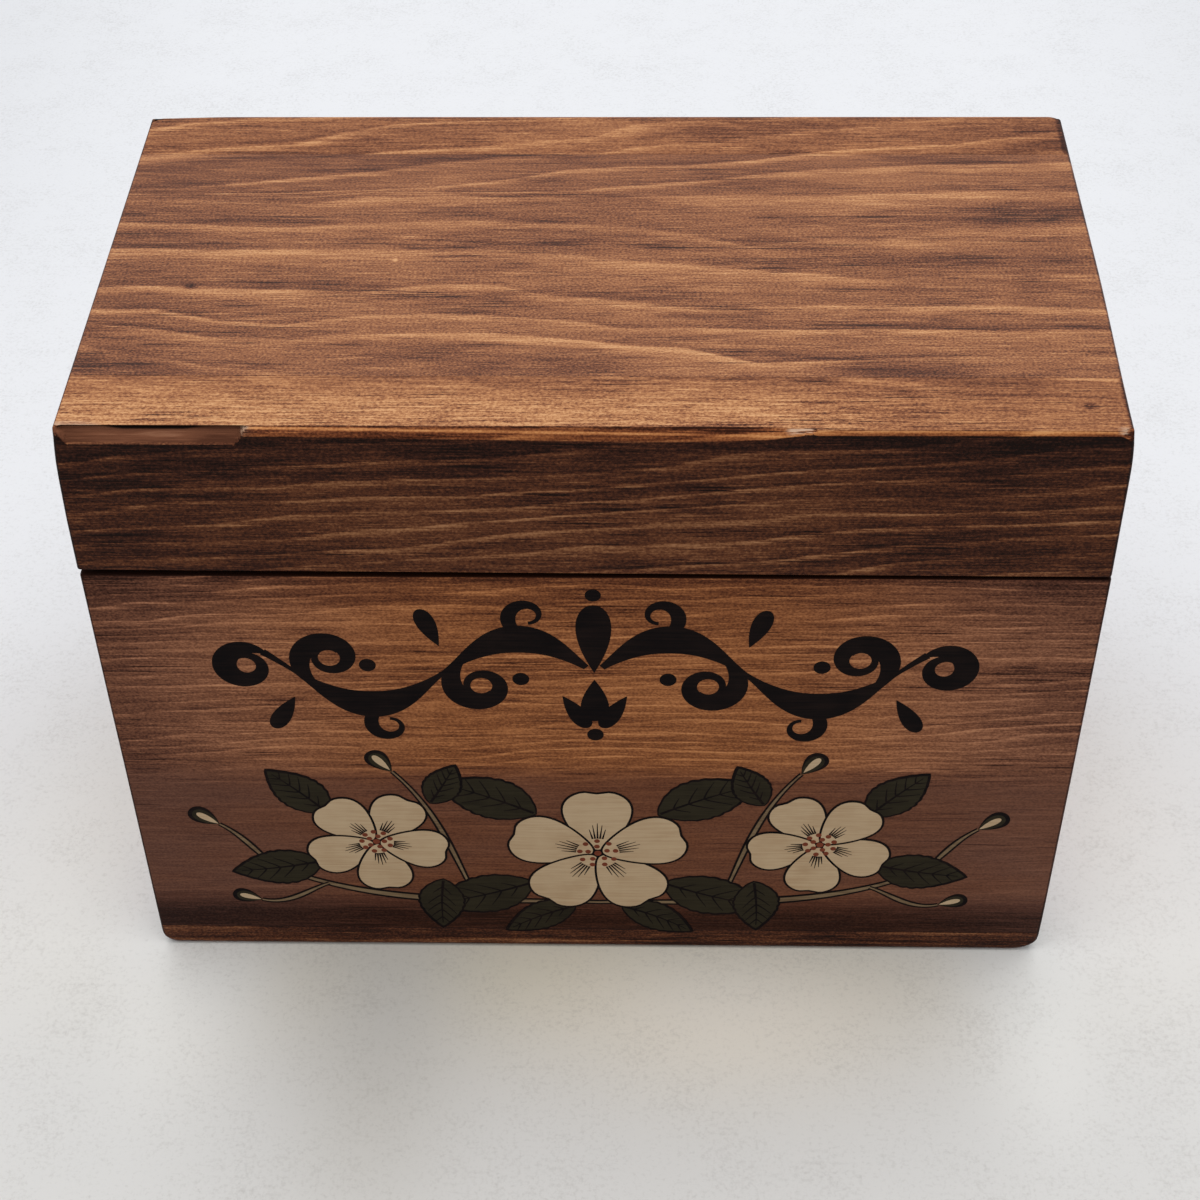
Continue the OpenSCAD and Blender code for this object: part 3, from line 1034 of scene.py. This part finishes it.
# %% Finishes
class Finish:
    """A material built from signals on the piece's own coordinates, in millimetres."""

    def __init__(self, name):
        self.material = bpy.data.materials.new(name)
        self.material.use_nodes = True
        self.tree = self.material.node_tree
        self.tree.nodes.clear()
        here = self.node("ShaderNodeTexCoord", {}, {}, "Object")
        self.facing = self.node("ShaderNodeTexCoord", {}, {}, "Normal")
        self.here = self.node(
            "ShaderNodeVectorMath", {"operation": "SCALE"}, {0: here, "Scale": 1 / MM}
        )
        self.x, self.y, self.z = self.split(self.here)

    def node(self, kind, settings, values, output=0):
        """Adds one node: settings first, then its sockets; gives the signal of one output."""
        made = self.tree.nodes.new(kind)
        for key, value in settings.items():
            if key == "stops":
                elements = made.color_ramp.elements
                for at, colour in value[1:-1]:
                    elements.new(at).color = (*colour, 1)
                for end in (0, -1):
                    at, colour = value[end]
                    elements[end].position, elements[end].color = at, (*colour, 1)
            else:
                setattr(made, key, value)
        for key, value in values.items():
            if isinstance(value, Signal):
                self.tree.links.new(value.socket, made.inputs[key])
            elif value is not None:
                made.inputs[key].default_value = value
        return Signal(self, made.outputs[output]) if made.outputs else None

    def split(self, vector):
        """The three parts of a vector as signals."""
        first = self.node("ShaderNodeSeparateXYZ", {}, {0: vector})
        outputs = first.socket.node.outputs
        return tuple(Signal(self, socket) for socket in outputs)

    def join(self, x, y, z):
        """A vector made of three signals."""
        return self.node("ShaderNodeCombineXYZ", {}, {0: x, 1: y, 2: z})

    def noise(self, vector, detail=2.0, rough=0.5):
        """Cloudy noise around 0.5, one cloud for each unit of the vector."""
        return self.node(
            "ShaderNodeTexNoise", {},
            {"Vector": vector, "Scale": 1.0, "Detail": detail, "Roughness": rough},
        )

    def mark(self, name):
        """A number kept on the mesh."""
        return self.node("ShaderNodeAttribute", {"attribute_name": name}, {}, "Fac")

    def mix(self, share, a, b, blend="MIX"):
        """Colour a turning to b by share."""
        return self.node(
            "ShaderNodeMix", {"data_type": "RGBA", "blend_type": blend},
            {0: share, 6: a, 7: b}, 2,
        )

    def mix_value(self, share, a, b):
        """Value a turning to b by share."""
        return self.node("ShaderNodeMix", {}, {0: share, 2: a, 3: b})

    def shades(self, tone, stops):
        """Colours along a tone, from stops of (tone, sRGB in 0..255)."""
        return self.node(
            "ShaderNodeValToRGB",
            {"stops": [(at, paint(colour)) for at, colour in stops]},
            {"Fac": tone},
        )

    def close(self, colour, roughness, height=None, depth=0.1, **constants):
        """Ends the material with one Principled shader. The height, in parts of
        depth millimetres, becomes its bump."""
        values = {"Base Color": colour, "Roughness": roughness, **constants}
        if height is not None:
            bump = {"Strength": 1.0, "Distance": depth * MM, "Height": height}
            values["Normal"] = self.node("ShaderNodeBump", {}, bump)
        shader = self.node("ShaderNodeBsdfPrincipled", {}, values)
        self.node("ShaderNodeOutputMaterial", {}, {0: shader})
        print("finish", self.material.name, "has", len(self.tree.nodes), "nodes")
        return self.material


# %% Colours, and dressing a piece
def paint(colour):
    """Linear colour of an sRGB one in 0..255: the standard curve with its foot."""
    c = np.asarray(colour, float) / 255
    return tuple(np.where(c <= 0.04045, c / 12.92, ((c + 0.055) / 1.055) ** 2.4))


def colour(*srgb):
    """The same with an alpha of one, as a colour socket wants it."""
    return (*paint(srgb), 1.0)


def dress(material, *pieces):
    """Gives a finish to pieces."""
    for piece in pieces:
        piece.data.materials.clear()
        piece.data.materials.append(material)


print("mid grey in linear numbers:", np.round(paint((128, 128, 128)), 3))

# %% [markdown]
# ## Stained pine
# Pine that has been stained turns inside out: the soft early wood of each
# year drinks the stain and goes dark, and the hard late wood stays as a thin
# bright line that ends sharply on one side. So the wood is made as in the
# tree. Each board lies somewhere in a trunk, the distance from the pith
# gives the ring number, and slow noise makes the trunk uneven. Fine fibres,
# dark dashes and clouds of stain are stretched along the grain. A picture
# of grain would stop at the edges, while this goes through the board, so
# that end grain and chips agree with the faces.

# %% Noise stretched along the grain
GRAIN = {
    # length along the grain, width across it, detail, roughness
    "sway": (46, 9, 2.5, 0.45), "shiver": (16, 2.6, 1.0, 0.5),
    "fine": (9, 0.36, 4.0, 0.72), "speck": (0.42, 0.27, 1.5, 0.6),
    "fleck": (11, 1.1, 3.0, 0.6), "cloud": (44, 15, 3.0, 0.55),
    "open": (30, 4.2, 3.0, 0.6), "dark hair": (13, 0.28, 1.5, 0.5),
    "pale hair": (8, 0.26, 1.0, 0.5), "ragged": (22, 0.7, 2.5, 0.5),
    "band": (70, 2.2, 2.5, 0.5),
}


def stretched(f, kind):
    """Noise around 0.5 on the finish's own grain, stretched by the sizes of its kind."""
    length, width, detail, rough = GRAIN[kind]
    scaled = f.node(
        "ShaderNodeVectorMath", {"operation": "MULTIPLY"},
        {0: f.grain, 1: (1 / length, 1 / width, 1 / width)},
    )
    return f.noise(scaled, detail, rough)


print(len(GRAIN), "kinds of noise run along the grain")

# %% Yearly rings
def ring_count(f, a, b, pith, ring, meander, lean, figure):
    """Ring number at a point: kept on the mesh where a figure is named, otherwise
    the distance from the pith over the ring width. Slow noise makes both wander."""
    sway = stretched(f, "sway") - 0.5
    if figure:
        return f.mark(figure) + sway * 0.36 + (stretched(f, "shiver") - 0.5) * 0.16
    radius = ((b - pith[0]) * (b - pith[0]) + (f.z - pith[1]) * (f.z - pith[1])) ** 0.5
    return radius / ring + sway * meander + a * lean


def late_line(phase, ragged):
    """Late wood: rises from the middle of the year, ends sharply just before its end."""
    return (phase + ragged).step(0.5, 0.92) ** 1.5 * (1 - (phase + ragged * 0.2).step(0.9, 0.985))


# %% [markdown]
# The stain is missing inside the box and where the edge is broken, and the
# edges of the open seam are darkened as painted shade. Each of these places
# is a mask: a signal that is one there and nothing elsewhere, made of smooth
# steps on the coordinates or of the marks kept on the mesh.

# %% Where the stain stops, and painted shade in the seam and the crack
RAW = ((0.0, (128, 88, 52)), (0.45, (176, 132, 86)), (0.8, (205, 165, 116)), (1.0, (222, 186, 140)))
BREAK = ((0.0, (88, 52, 36)), (0.5, (128, 81, 58)), (1.0, (176, 126, 96)))
# The crack's colour is painted shade: the nearly black under the chip's lip.
CRACK_SHADE, SPLINTER = (22, 14, 11), (205, 170, 142)
GROOVE_Z = 0.5 * (SEAM_Z + LID_Z)
NEAR, PAST = 0.02, 0.1


def blots(f, spots):
    """Sum of soft ovals seen from above: each is its tone times
    exp(-(dx / rx)^2 - (dy / ry)^2)."""
    total = 0.0
    for cx, cy, rx, ry, tone in spots:
        dx, dy = (f.x - cx) / rx, (f.y - cy) / ry
        total = total + f.x.math("EXPONENT", -1 * (dx * dx + dy * dy)) * tone
    return total


def seam_shade_mask(f, facing):
    """One on the two edges of the open seam under the lid, near the outside, where painted shade darkens
    the wood.
    """
    outer = 1 - (1 - abs(f.x).step(74.2, 75.2)) * (1 - abs(f.y).step(40.8, 41.8))
    return facing[2].step(0.4, 0.9) * (1 - abs(f.z - GROOVE_Z).step(0.9, 1.2)) * outer


def unstained(f):
    """One on the raw faces inside the box."""
    return (
        (1 - abs(f.x).step(LAP_X + NEAR, LAP_X + PAST))
        * (1 - abs(f.y).step(top_high[1] + NEAR, top_high[1] + PAST))
        * f.z.step(FOOT_Z - PAST, FOOT_Z - NEAR)
        * (1 - f.z.step(DECK_Z + NEAR, DECK_Z + PAST))
    )


def broken(f, coloured, fine, fleck):
    """Colours of the damage, from the marks on the mesh: fresh wood where it is
    torn, painted shade, nearly black, in the crack under the lip, and pale
    splinters. Gives the share of fresh wood too."""
    torn, crack, pale = (f.mark(word) for word in ("torn", "crack", "pale"))
    bare = torn.step(0.1, 0.8)
    low = (TOP_Z - f.z).step(1.5, 2.5)
    tone = 0.52 + fine * 1.2 + fleck * 0.9 - abs(f.x + 63).step(5, 11) * 0.28 - low * 0.3
    coloured = f.mix(bare, coloured, f.shades(tone, BREAK))
    # Painted shade: the crack under the lip is coloured nearly black.
    coloured = f.mix(crack.step(0.2, 0.7), coloured, colour(*CRACK_SHADE))
    coloured = f.mix(pale * (0.5 + fine * 4.0).step(0.1, 0.6), coloured, colour(*SPLINTER))
    return coloured, bare


print("raw wood lies within", round(float(LAP_X), 2), "mm of the middle")

# %% The wood finish
SHIFT = (37.0, 62.9, 22.2)
HAIRS = 0.24
RAW_ROUGH, VARNISH_ROUGH, COAT_ROUGH = 0.66, 0.42, 0.32


def timber(
    name, along, stain, seed, pith=(60, -30), ring=2.4, meander=1.6, lean=0.0,
    late=0.34, shaded=0.1, fibre=0.66, grit=0.8, flecks=0.32, cloud=0.36,
    opened=0.12, bands=0.0, tone=0.42, figure=None, zone=None, calm=None, crisp=None,
    damaged=False, second=None, tint=None, shine=0.12, coat=0.17,
):
    """Stained pine. Late wood raises the tone and the early wood behind it lowers
    it, fibres, specks, hairs and clouds move it both ways, and the stain's stops
    turn it to colour. Raw wood inside and the damage come on top."""
    f = Finish(name)
    a, b = (f.x, f.y) if along == "x" else (f.y, f.x)
    f.grain = f.join(a + SHIFT[0] * seed, b + SHIFT[1] * seed, f.z + SHIFT[2] * seed)
    rings = ring_count(f, a, b, pith, ring, meander, lean, figure)
    year, phase = rings.whole(), rings.part()
    fine, speck, fleck, clouds = (
        stretched(f, kind) - 0.5 for kind in ("fine", "speck", "fleck", "cloud")
    )
    open_grain = stretched(f, "open").step(0.46, 0.66)
    dark_hair = stretched(f, "dark hair").step(0.58, 0.68)
    pale_hair = stretched(f, "pale hair").step(0.6, 0.7)

    ragged = (stretched(f, "ragged") - 0.5) * 0.4
    patchy = f.noise(f.join(a / 26 + seed, year * 3.7, 0.5), detail=1.5).step(0.3, 0.66)
    line = late_line(phase, ragged)
    behind = 1 - (phase + ragged).step(0.02, 0.25)
    growth = (
        line * (0.3 + 0.7 * patchy) * (1 + fine * 2.4) * late - behind * patchy * shaded
        + fleck * flecks - open_grain * opened
    )
    if bands:
        growth = growth - stretched(f, "band").step(0.47, 0.66) * bands
    growth = growth + clouds * cloud
    texture = (
        fine * fibre + speck * grit
        - dark_hair * (0.35 + open_grain * 1.5) * HAIRS + pale_hair * (0.8 * HAIRS)
    )
    facing = [abs(part) for part in f.split(f.facing)]
    end = facing[0 if along == "x" else 1].step(0.6, 0.95)
    if calm:
        growth = growth * (1 - calm(f) * (1 - end))
    if crisp:
        texture = texture * crisp(f)
    level = tone + growth + texture
    if zone:
        level = level + zone(f) * (1 - end * 0.8)

    # Painted shade: the edges of the open seam are darkened, as shade falls in the gap.
    groove_shade = seam_shade_mask(f, facing)
    # Painted shade: rounded corners that turn towards the ends of the box are darkened, as if in shadow.
    rounding_shade = facing[0].step(0.12, 0.5) * (1 - facing[0].step(0.6, 0.95))
    level = level - end * 0.16 - groove_shade * 0.6 - rounding_shade * 0.3
    skin = f.shades(level, stain)
    if second:
        share, other = second
        skin = f.mix(share(f), skin, f.shades(level, other))
    if tint:
        share, shade = tint
        skin = f.mix(share(f), skin, colour(*shade), "MULTIPLY")
    raw = f.shades(level * 0.8 + 0.18, RAW)
    inside = unstained(f)
    coloured = f.mix(inside, skin, raw)
    varnish = 1 - inside
    if damaged:
        coloured, bare = broken(f, coloured, fine, fleck)
        varnish = varnish * (1 - bare)
    return f.close(
        coloured,
        RAW_ROUGH - varnish * (RAW_ROUGH - VARNISH_ROUGH) + fine * 0.14,
        line * 0.25 + fine * 0.5 - dark_hair * 0.4 + speck * 0.3,
        0.05,
        **{
            "Coat Weight": varnish * facing[2].step(0.3, 0.9) * coat,
            "Coat Roughness": COAT_ROUGH, "Specular IOR Level": shine,
        },
    )


# %% [markdown]
# ## Several boards
# A stain is a row of colours from dark to bright wood, and the tone picks a
# place in the row. Boards of one plank share a finish, the others have their
# own seed, pith and stain. Small functions of the place shift the tone where
# the stain is lighter or darker, and where painted shade, sheen or highlights
# are laid on.

# %% Stains
WARM = (
    (0.0, (52, 26, 16)), (0.25, (104, 60, 40)), (0.5, (152, 98, 64)),
    (0.75, (188, 132, 88)), (1.0, (214, 162, 114)),
)
# The deepest row is the stain of the foot; on the upright faces of the lid's rails it is partly a darker
# stain and partly painted shade.
DEEP_STAIN_AND_SHADE = (
    (0.0, (25, 13, 10)), (0.25, (58, 31, 22)), (0.5, (98, 57, 36)),
    (0.75, (140, 94, 62)), (1.0, (168, 120, 84)),
)
FRONT = (
    (0.0, (44, 22, 13)), (0.25, (89, 49, 31)), (0.5, (133, 81, 49)),
    (0.75, (174, 113, 70)), (1.0, (200, 138, 90)),
)
FRONT_FOOT = (
    (0.0, (38, 22, 18)), (0.25, (86, 56, 46)), (0.5, (122, 84, 68)),
    (0.75, (156, 112, 92)), (1.0, (184, 136, 110)),
)

# %% The front and the sides
STAIN_LINE, GRAIN_LINE = (40, 47), (38, 50)
FOOT_BAND, SEAM_BAND, SEAM_EDGE = (8, 15), (75, 82), (83.4, 84.9)


def in_front(f):
    """One on the front half of the box and none on the back half."""
    return 1 - f.y.step(-10, 10)


def front_zones(f):
    """The body's front is lighter above the stain line, darker towards both ends,
    darker towards the lid partly in its stain and partly as painted shade by
    the seam, and darkest in a band just above the foot. Its back is even."""
    upper = f.z.step(*STAIN_LINE)
    ends = abs(f.x).step(48, 80)
    # Darker strips below the seam: partly a darker stain, partly painted shade by the open seam.
    seam_stain_and_shade = f.z.step(*SEAM_BAND) * 0.15 + f.z.step(*SEAM_EDGE) * 0.14
    zones = upper * (0.23 - ends * 0.2) + ends * f.x * 0.0005 - (1 - f.z.step(*FOOT_BAND)) * 0.3
    return f.mix_value(in_front(f), 0.04, zones - seam_stain_and_shade)


def front_low(f):
    """The part below the stain line and the ends took a colder stain."""
    ends = abs(f.x).step(20, 72)
    lower = 1 - f.z.step(*STAIN_LINE)
    drift = f.noise(f.join(f.x / 30, f.y, f.z / 7), detail=2.0) - 0.5
    cold = lower * (0.42 + ends * 0.4 + drift * 0.7) + (1 - lower) * ends * 0.6
    return f.mix_value(in_front(f), 0.3 + drift, cold)


def front_calm(f):
    """The rings hardly show low on the front."""
    return (1 - f.z.step(*GRAIN_LINE)) * in_front(f) * 0.82


def front_crisp(f):
    """The fibres are fainter low on the front."""
    return 0.88 - (1 - f.z.step(*GRAIN_LINE)) * in_front(f) * 0.5


front_wood = timber(
    "stained front", "x", FRONT, 2, pith=(-2, -60), ring=1.9, meander=4.4, lean=-0.018,
    late=0.26, shaded=0.08, bands=0.1, cloud=0.14, opened=0.07, tone=0.35,
    zone=front_zones, calm=front_calm, crisp=front_crisp,
    second=(front_low, FRONT_FOOT), shine=0.03, coat=0.0,
)
side_wood = timber("stained sides", "y", WARM, 4, pith=(0, -20), ring=2.6, tone=0.4)

# %% [markdown]
# The lid's rails carry the wear, and their tone depends on the place most of
# all: on top, on the worn slope, on the upright face below it and at the
# ends. Some of it is painted light: the upright faces are partly painted
# shade, the top near the front edge is partly painted sheen, and a painted
# highlight runs along the worn slope. The upward part of the surface's
# normal tells these faces apart.

# %% Where the lid's rails were rubbed, and where their faces are painted darker as shade
RAIL_BLOTS = (
    # middle, radii and tone of each oval
    (70, -36.8, 0.9, 0.6, -0.55), (70, -36.7, 0.25, 0.2, 0.6), (22, -39.6, 5, 0.4, -0.2),
    (19, -41.1, 4.5, 0.6, -0.45), (8, -41.5, 10, 0.25, -0.25), (50, -38.3, 9, 0.5, -0.14),
    (-20, -40.4, 6, 0.3, -0.16), (58, -34.2, 10, 0.4, -0.2), (33, -36, 8, 0.35, -0.14),
)
HAIRLINE_Y = EDGE_DEPTH[0] - FACE_Y


def upwards(f):
    """Tops and worn slopes, but no upright face."""
    return f.split(f.facing)[2].step(0.14, 0.3)


def rail_face_stain_and_shade(f):
    """The long faces are darker than the top, the worn slope and the ends: partly a darker stain and partly
    painted shade, as the top takes far more light.
    """
    return (1 - upwards(f)) * (1 - abs(f.split(f.facing)[0]).step(0.8, 0.95))


def worn_slope(f):
    """The worn slope along the front edge."""
    return (TOP_Z - f.z).step(0.02, 0.2) * (1 - f.y.step(-41.6, -41.2)) * upwards(f)


def worn_tint(f):
    """How far the worn slope is warmed towards orange; not on the chip at its left end."""
    return worn_slope(f) * f.x.step(-48.5, -46.5)


# %% Tones of the lid's rails
EDGE_BAND, FACE_BAND = (2, 5), (5, 17)


def rail_zones(f):
    """The top of the front rail is paler, partly in its own colour and partly as
    painted sheen, most of all on its left part, with a knot, a dark streak and a
    dark hairline where the worn slope begins. A thin painted highlight runs
    along the worn slope. The face is nearly black below the edge and lightens
    towards the foot, less at both ends."""
    up, down = upwards(f), TOP_Z - f.z
    front = (
        -0.14 * (1 - down.step(*EDGE_BAND)) - 0.16 * (1 - down.step(*FACE_BAND))
        + 0.04 - abs(f.x).step(18, 56) * 0.12
    )
    # The top of the rail near its front edge is paler: partly its own colour, partly painted sheen.
    pale = (0.25 - f.x.step(20, 38) * 0.17) * (1 - f.y.step(-38, -28))
    hairline = (
        (1 - abs(f.y - HAIRLINE_Y).step(0.05, 0.16)) * (1 - f.x.step(20, 28))
        * f.x.step(-50, -47)
    )
    # glint is a painted highlight: a thin bright line along the worn slope, at a drop that grows to the
    # right.
    along = 0.8 + f.x * 0.012
    glint = 1 - abs(down - along).step(0.05, 0.26)
    under = (down - along).step(0.1, 0.4) * (1 - f.x.step(-20, -8))
    hollow = (1 - f.x.step(20, 25)) * (1 - f.x.step(27, 32)) * 0.24
    slope_tone_and_glint = (
        (1 - f.x.step(27, 32)) * (glint * (0.44 - f.x.step(12, 18) * 0.14) - under * 0.1 - 0.08)
        - hollow + f.x.step(30, 33) * (0.42 - down.step(0.12, 0.6) * 0.42)
    )
    worn = worn_slope(f) * slope_tone_and_glint
    end = abs(f.x + 0.12).step(74.8, 75.5) * 0.3
    return up * (pale + blots(f, RAIL_BLOTS) - hairline * 0.45 + worn - end) + (1 - up) * front


def rail_calm(f):
    """The rings hardly show on top of the rail and just below its edge."""
    top = f.split(f.facing)[2].step(0.5, 0.9) * (1 - f.y.step(-36, -28))
    below = 0.05 + (1 - (TOP_Z - f.z).step(2, 4.5)) * 0.6
    return top * 0.92 + (1 - upwards(f)) * below


def rail_crisp(f):
    """On top of the front rail the fibres stand out sharply."""
    front = (1 - f.y.step(-40, -28)) * (1 - f.x.step(20, 66) * 0.75)
    return 0.8 + f.split(f.facing)[2].step(0.5, 0.9) * (0.05 + front * 0.7)


lid_wood = timber(
    "stained lid rails", "x", WARM, 6, pith=(-10, 20), ring=2.9, meander=1.7,
    lean=-0.027, late=0.35, shaded=0.07, tone=0.42, flecks=0.26, fibre=1.0, grit=0.9,
    crisp=rail_crisp, damaged=True,
    # The rails' upright faces take the deep row: partly stain, partly painted shade.
    second=(rail_face_stain_and_shade, DEEP_STAIN_AND_SHADE), tint=(worn_tint, (255, 237, 214)), zone=rail_zones,
    calm=rail_calm, shine=0.05,
)

# %% The top board, the foot and dressing the wood
TOP_BLOTS = (
    (16, -27, 9, 4.5, 0.12), (-1, -26.5, 10, 2.8, -0.16), (-24, -26, 14, 1.5, -0.08),
    (-66, -28.5, 8, 2, -0.12), (-57, 22, 20, 15, -0.1), (65, 13, 12, 3, -0.12),
    (36, 2, 9, 3, -0.1), (40, -27.5, 8, 3, -0.1), (-61.2, -7.8, 0.9, 0.55, -0.5),
    (-5, 4, 3.5, 0.8, -0.2), (55, 40, 5, 0.8, -0.2), (-30.8, -0.6, 0.4, 0.4, 0.6),
    (-5, 38, 70, 14, -0.08), (-70, -4, 10, 30, -0.08), (62, -29, 14, 4, 0.05),
)
top_wood = timber(
    "stained lid top", "x", WARM, 8, late=0.34, shaded=0.12, tone=0.425, cloud=0.42, grit=1.05,
    figure="ring", zone=lambda f: blots(f, TOP_BLOTS), opened=0.13,
    crisp=lambda f: 1 - f.y.step(5, 40) * 0.4,
)
# On the foot, the upward rim just under the front board is darkened: painted shade on an edge that catches
# the lamp.
bottom_wood = timber(
    "stained foot", "x", DEEP_STAIN_AND_SHADE, 10, pith=(5, -40), ring=2.2, tone=0.335, late=0.26,
    zone=lambda f: -0.2 * upwards(f) * f.z.step(FOOT_Z - 1, FOOT_Z - 0.4), shine=0.05,
)

dress(front_wood, *faces.values())
dress(side_wood, *sides.values())
dress(lid_wood, lid_front_rail, lid_back_rail)
dress(top_wood, lid_top_board)
dress(bottom_wood, bottom_panel)

# %% [markdown]
# ## Brass and steel
# The hinges are thin brass-plated butts that have gone brown in the low
# places. Tarnish is slow noise that mixes a dull brown into the brass and
# roughens it. The hinge pins and the brads are plain steel.

# %% The metal finishes
SPOTS_PER_MM = 0.22


def metal(name, clean, dull, seed, shine=0.28):
    """Tarnished metal: clean colour where noise is low, dull and rougher where it
    is high, with fine scratches."""
    f = Finish(name)
    spot = f.node(
        "ShaderNodeVectorMath", {"operation": "SCALE"}, {0: f.here, "Scale": SPOTS_PER_MM}
    )
    tarnish = f.noise(spot, detail=5.0, rough=0.62).step(0.38, 0.68)
    hair = f.noise(f.join(f.x * 0.3 + seed, f.y * 5, f.z * 5), detail=2.0)
    return f.close(
        f.mix(tarnish, colour(*clean), colour(*dull)),
        shine + tarnish * 0.25 + hair * 0.1,
        hair, 0.01, Metallic=0.95 - tarnish * 0.25,
    )


dress(metal("tarnished brass", (206, 164, 92), (112, 80, 44), 1), *brass_pieces)
dress(metal("pin steel", (176, 172, 166), (104, 96, 88), 2), *pin_pieces)
dress(metal("brad steel", (132, 128, 124), (78, 68, 60), 3, 0.4), *brad_pieces)

# %% [markdown]
# ## Printing inks
# The inks have sunk into the wood a little. The fibres show through them as
# faint streaks along the grain, and small specks have worn away, so each
# ink is a colour that is lifted or darkened by the same stretched noise.

# %% The inks
FIBRE_LENGTH, FIBRE_WIDTH, PATCH = 9, 0.35, 6


def ink(name, shade, faded, seed, wear):
    """Flat ink with the board's fibres showing: mixed towards its faded colour by
    noise stretched along the grain and by small patches."""
    f = Finish(name)
    along_grain = f.join(f.x / FIBRE_LENGTH + seed, f.y, f.z / FIBRE_WIDTH)
    fibre = f.noise(along_grain, detail=3.0, rough=0.6)
    patch = f.noise(f.join(f.x / PATCH, f.y, f.z / PATCH + seed), detail=3.0)
    share = (fibre * 0.6 + patch * 0.4).step(0.35, 0.75) * wear
    return f.close(
        f.mix(share, colour(*shade), colour(*faded)), 0.5 + fibre * 0.15,
        fibre, 0.01, **{"Specular IOR Level": 0.02},
    )


INKS = {
    "black": ((17, 14, 15), (44, 32, 28), 0.5),
    "cream": ((190, 166, 134), (158, 126, 92), 0.6),
    "green": ((50, 45, 33), (30, 26, 21), 0.8),
    "twig": ((128, 108, 82), (80, 60, 44), 0.8),
    "red": ((120, 62, 44), (84, 44, 34), 0.6),
}
for number, (word, (shade, faded, wear)) in enumerate(INKS.items()):
    dress(ink(word + " ink", shade, faded, number, wear), prints[word])


# %% [markdown]
# ## Floor and light
# The box stands on a pale board under a large soft lamp, a little behind
# it, so that the top is lit and the front is in soft shade. The floor is
# painted paler behind and greyer in front, as painted fall-off of light, and
# it has painted light and shadow near the box and faint stains. The lamp's
# power is set so that a colour on the top renders about as it is written.

# %% The floor
FLOOR, SUNK = 1600, 0.02

corner_x = np.array([-1, 1, 1, -1]) * FLOOR
corner_y = np.array([-1, -1, 1, 1]) * FLOOR
floor_mesh = bpy.data.meshes.new("floor")
floor_mesh.from_pydata(
    np.stack([corner_x, corner_y, np.zeros(4) - SUNK], -1) * MM, [], [(0, 1, 2, 3)]
)
floor = bpy.data.objects.new("floor", floor_mesh)
bpy.context.scene.collection.objects.link(floor)

# %% [markdown]
# The floor's colours are mixed in layers: a slow change from front to back,
# which is painted fall-off of light; soft ovals near the box, which are
# painted light, warm painted bounce light and one painted shadow; darker far
# corners, which are painted shade; and then noise of three sizes for the
# stains.

# %% Colours of the floor
FLOOR_LIGHT_AND_SHADOW = (
    # middle, radii and colour of each soft oval of painted light and shadow, from the box outwards
    (0, -46, 78, 20, (228, 220, 200)), (-86, -20, 26, 36, (246, 246, 242)),
    (86, -20, 26, 36, (248, 248, 245)), (-76, -14, 8, 34, (255, 255, 255)),
    (76, -14, 8, 34, (255, 255, 255)), (-68, -54, 12, 20, (242, 241, 236)),
    (72, -56, 10, 22, (240, 240, 236)), (22, -56, 26, 16, (244, 238, 226)),
    (-36, -68, 14, 36, (208, 206, 200)),
)
# NEARER and FARTHER are the floor's colour in front and behind: painted shade, the floor darker in front
# where less light falls.
NEARER, FARTHER, FAR_CORNER_SHADE = (219, 218, 214), (235, 237, 240), (226, 228, 231)

pale = Finish("pale board")
boards = pale.mix(pale.y.step(-150, 90), colour(*NEARER), colour(*FARTHER))
# The ovals are painted light beside and in front of the box, warm painted bounce light, and one painted
# shadow in front on the left.
for cx, cy, rx, ry, shade in FLOOR_LIGHT_AND_SHADOW:
    boards = pale.mix(blots(pale, ((cx, cy, rx, ry, 1.0),)), boards, colour(*shade))
# The far corners are darkened: painted shade.
corners = abs(pale.x).step(90, 200) * pale.y.step(60, 220)
boards = pale.mix(corners, boards, colour(*FAR_CORNER_SHADE))

# %% Stains on the floor
STAIN_SCALE, DIRT_SCALE, DUST_SCALE = 0.06, 0.35, 1.3
SOILED = (120, 112, 100)


def patches(scale):
    """Cloudy noise around 0 on the floor, with scale clouds for each millimetre."""
    scaled = pale.node(
        "ShaderNodeVectorMath", {"operation": "SCALE"}, {0: pale.here, "Scale": scale}
    )
    return pale.noise(scaled, detail=6.0, rough=0.72) - 0.5


stain, dirt = patches(STAIN_SCALE), patches(DIRT_SCALE)
soil = stain * 0.4 + patches(DUST_SCALE) * 0.9 + dirt * 0.3
soil = soil + (0 - dirt).step(0.19, 0.25) * 0.14
boards = pale.mix(soil, boards, colour(*SOILED))
dress(pale.close(boards, 0.6 + stain * 0.1), floor)

# %% [markdown]
# The lamp is a large square, so that its shadows have soft edges. The sky
# fills them with a little cool light.

# %% The lamp
LAMP_PLACE, LAMP_AIM = Vector((30, 120, 1300)), Vector((0, 0, 60))
LAMP_SIZE, LAMP_POWER, LAMP_TINT = 1400, 10.4, (1.0, 0.985, 0.965)

lamp_data = bpy.data.lights.new("overhead lamp", "AREA")
lamp_data.size, lamp_data.energy, lamp_data.color = LAMP_SIZE * MM, LAMP_POWER, LAMP_TINT
lamp = bpy.data.objects.new("overhead lamp", lamp_data)
bpy.context.scene.collection.objects.link(lamp)
lamp.location = LAMP_PLACE * MM
lamp.rotation_euler = (LAMP_AIM - LAMP_PLACE).to_track_quat("-Z", "Y").to_euler()
print("the lamp hangs", LAMP_PLACE.z, "mm over the floor")

# %% The sky
SKY_TINT, SKY_STRENGTH = (0.96, 0.97, 1.0, 1), 0.64

world = bpy.data.worlds.new("room")
bpy.context.scene.world = world
world.use_nodes = True
sky = world.node_tree.nodes["Background"]
sky.inputs["Color"].default_value = SKY_TINT
sky.inputs["Strength"].default_value = SKY_STRENGTH
bpy.context.scene.view_settings.view_transform = "Standard"
print("the sky's strength is", SKY_STRENGTH)
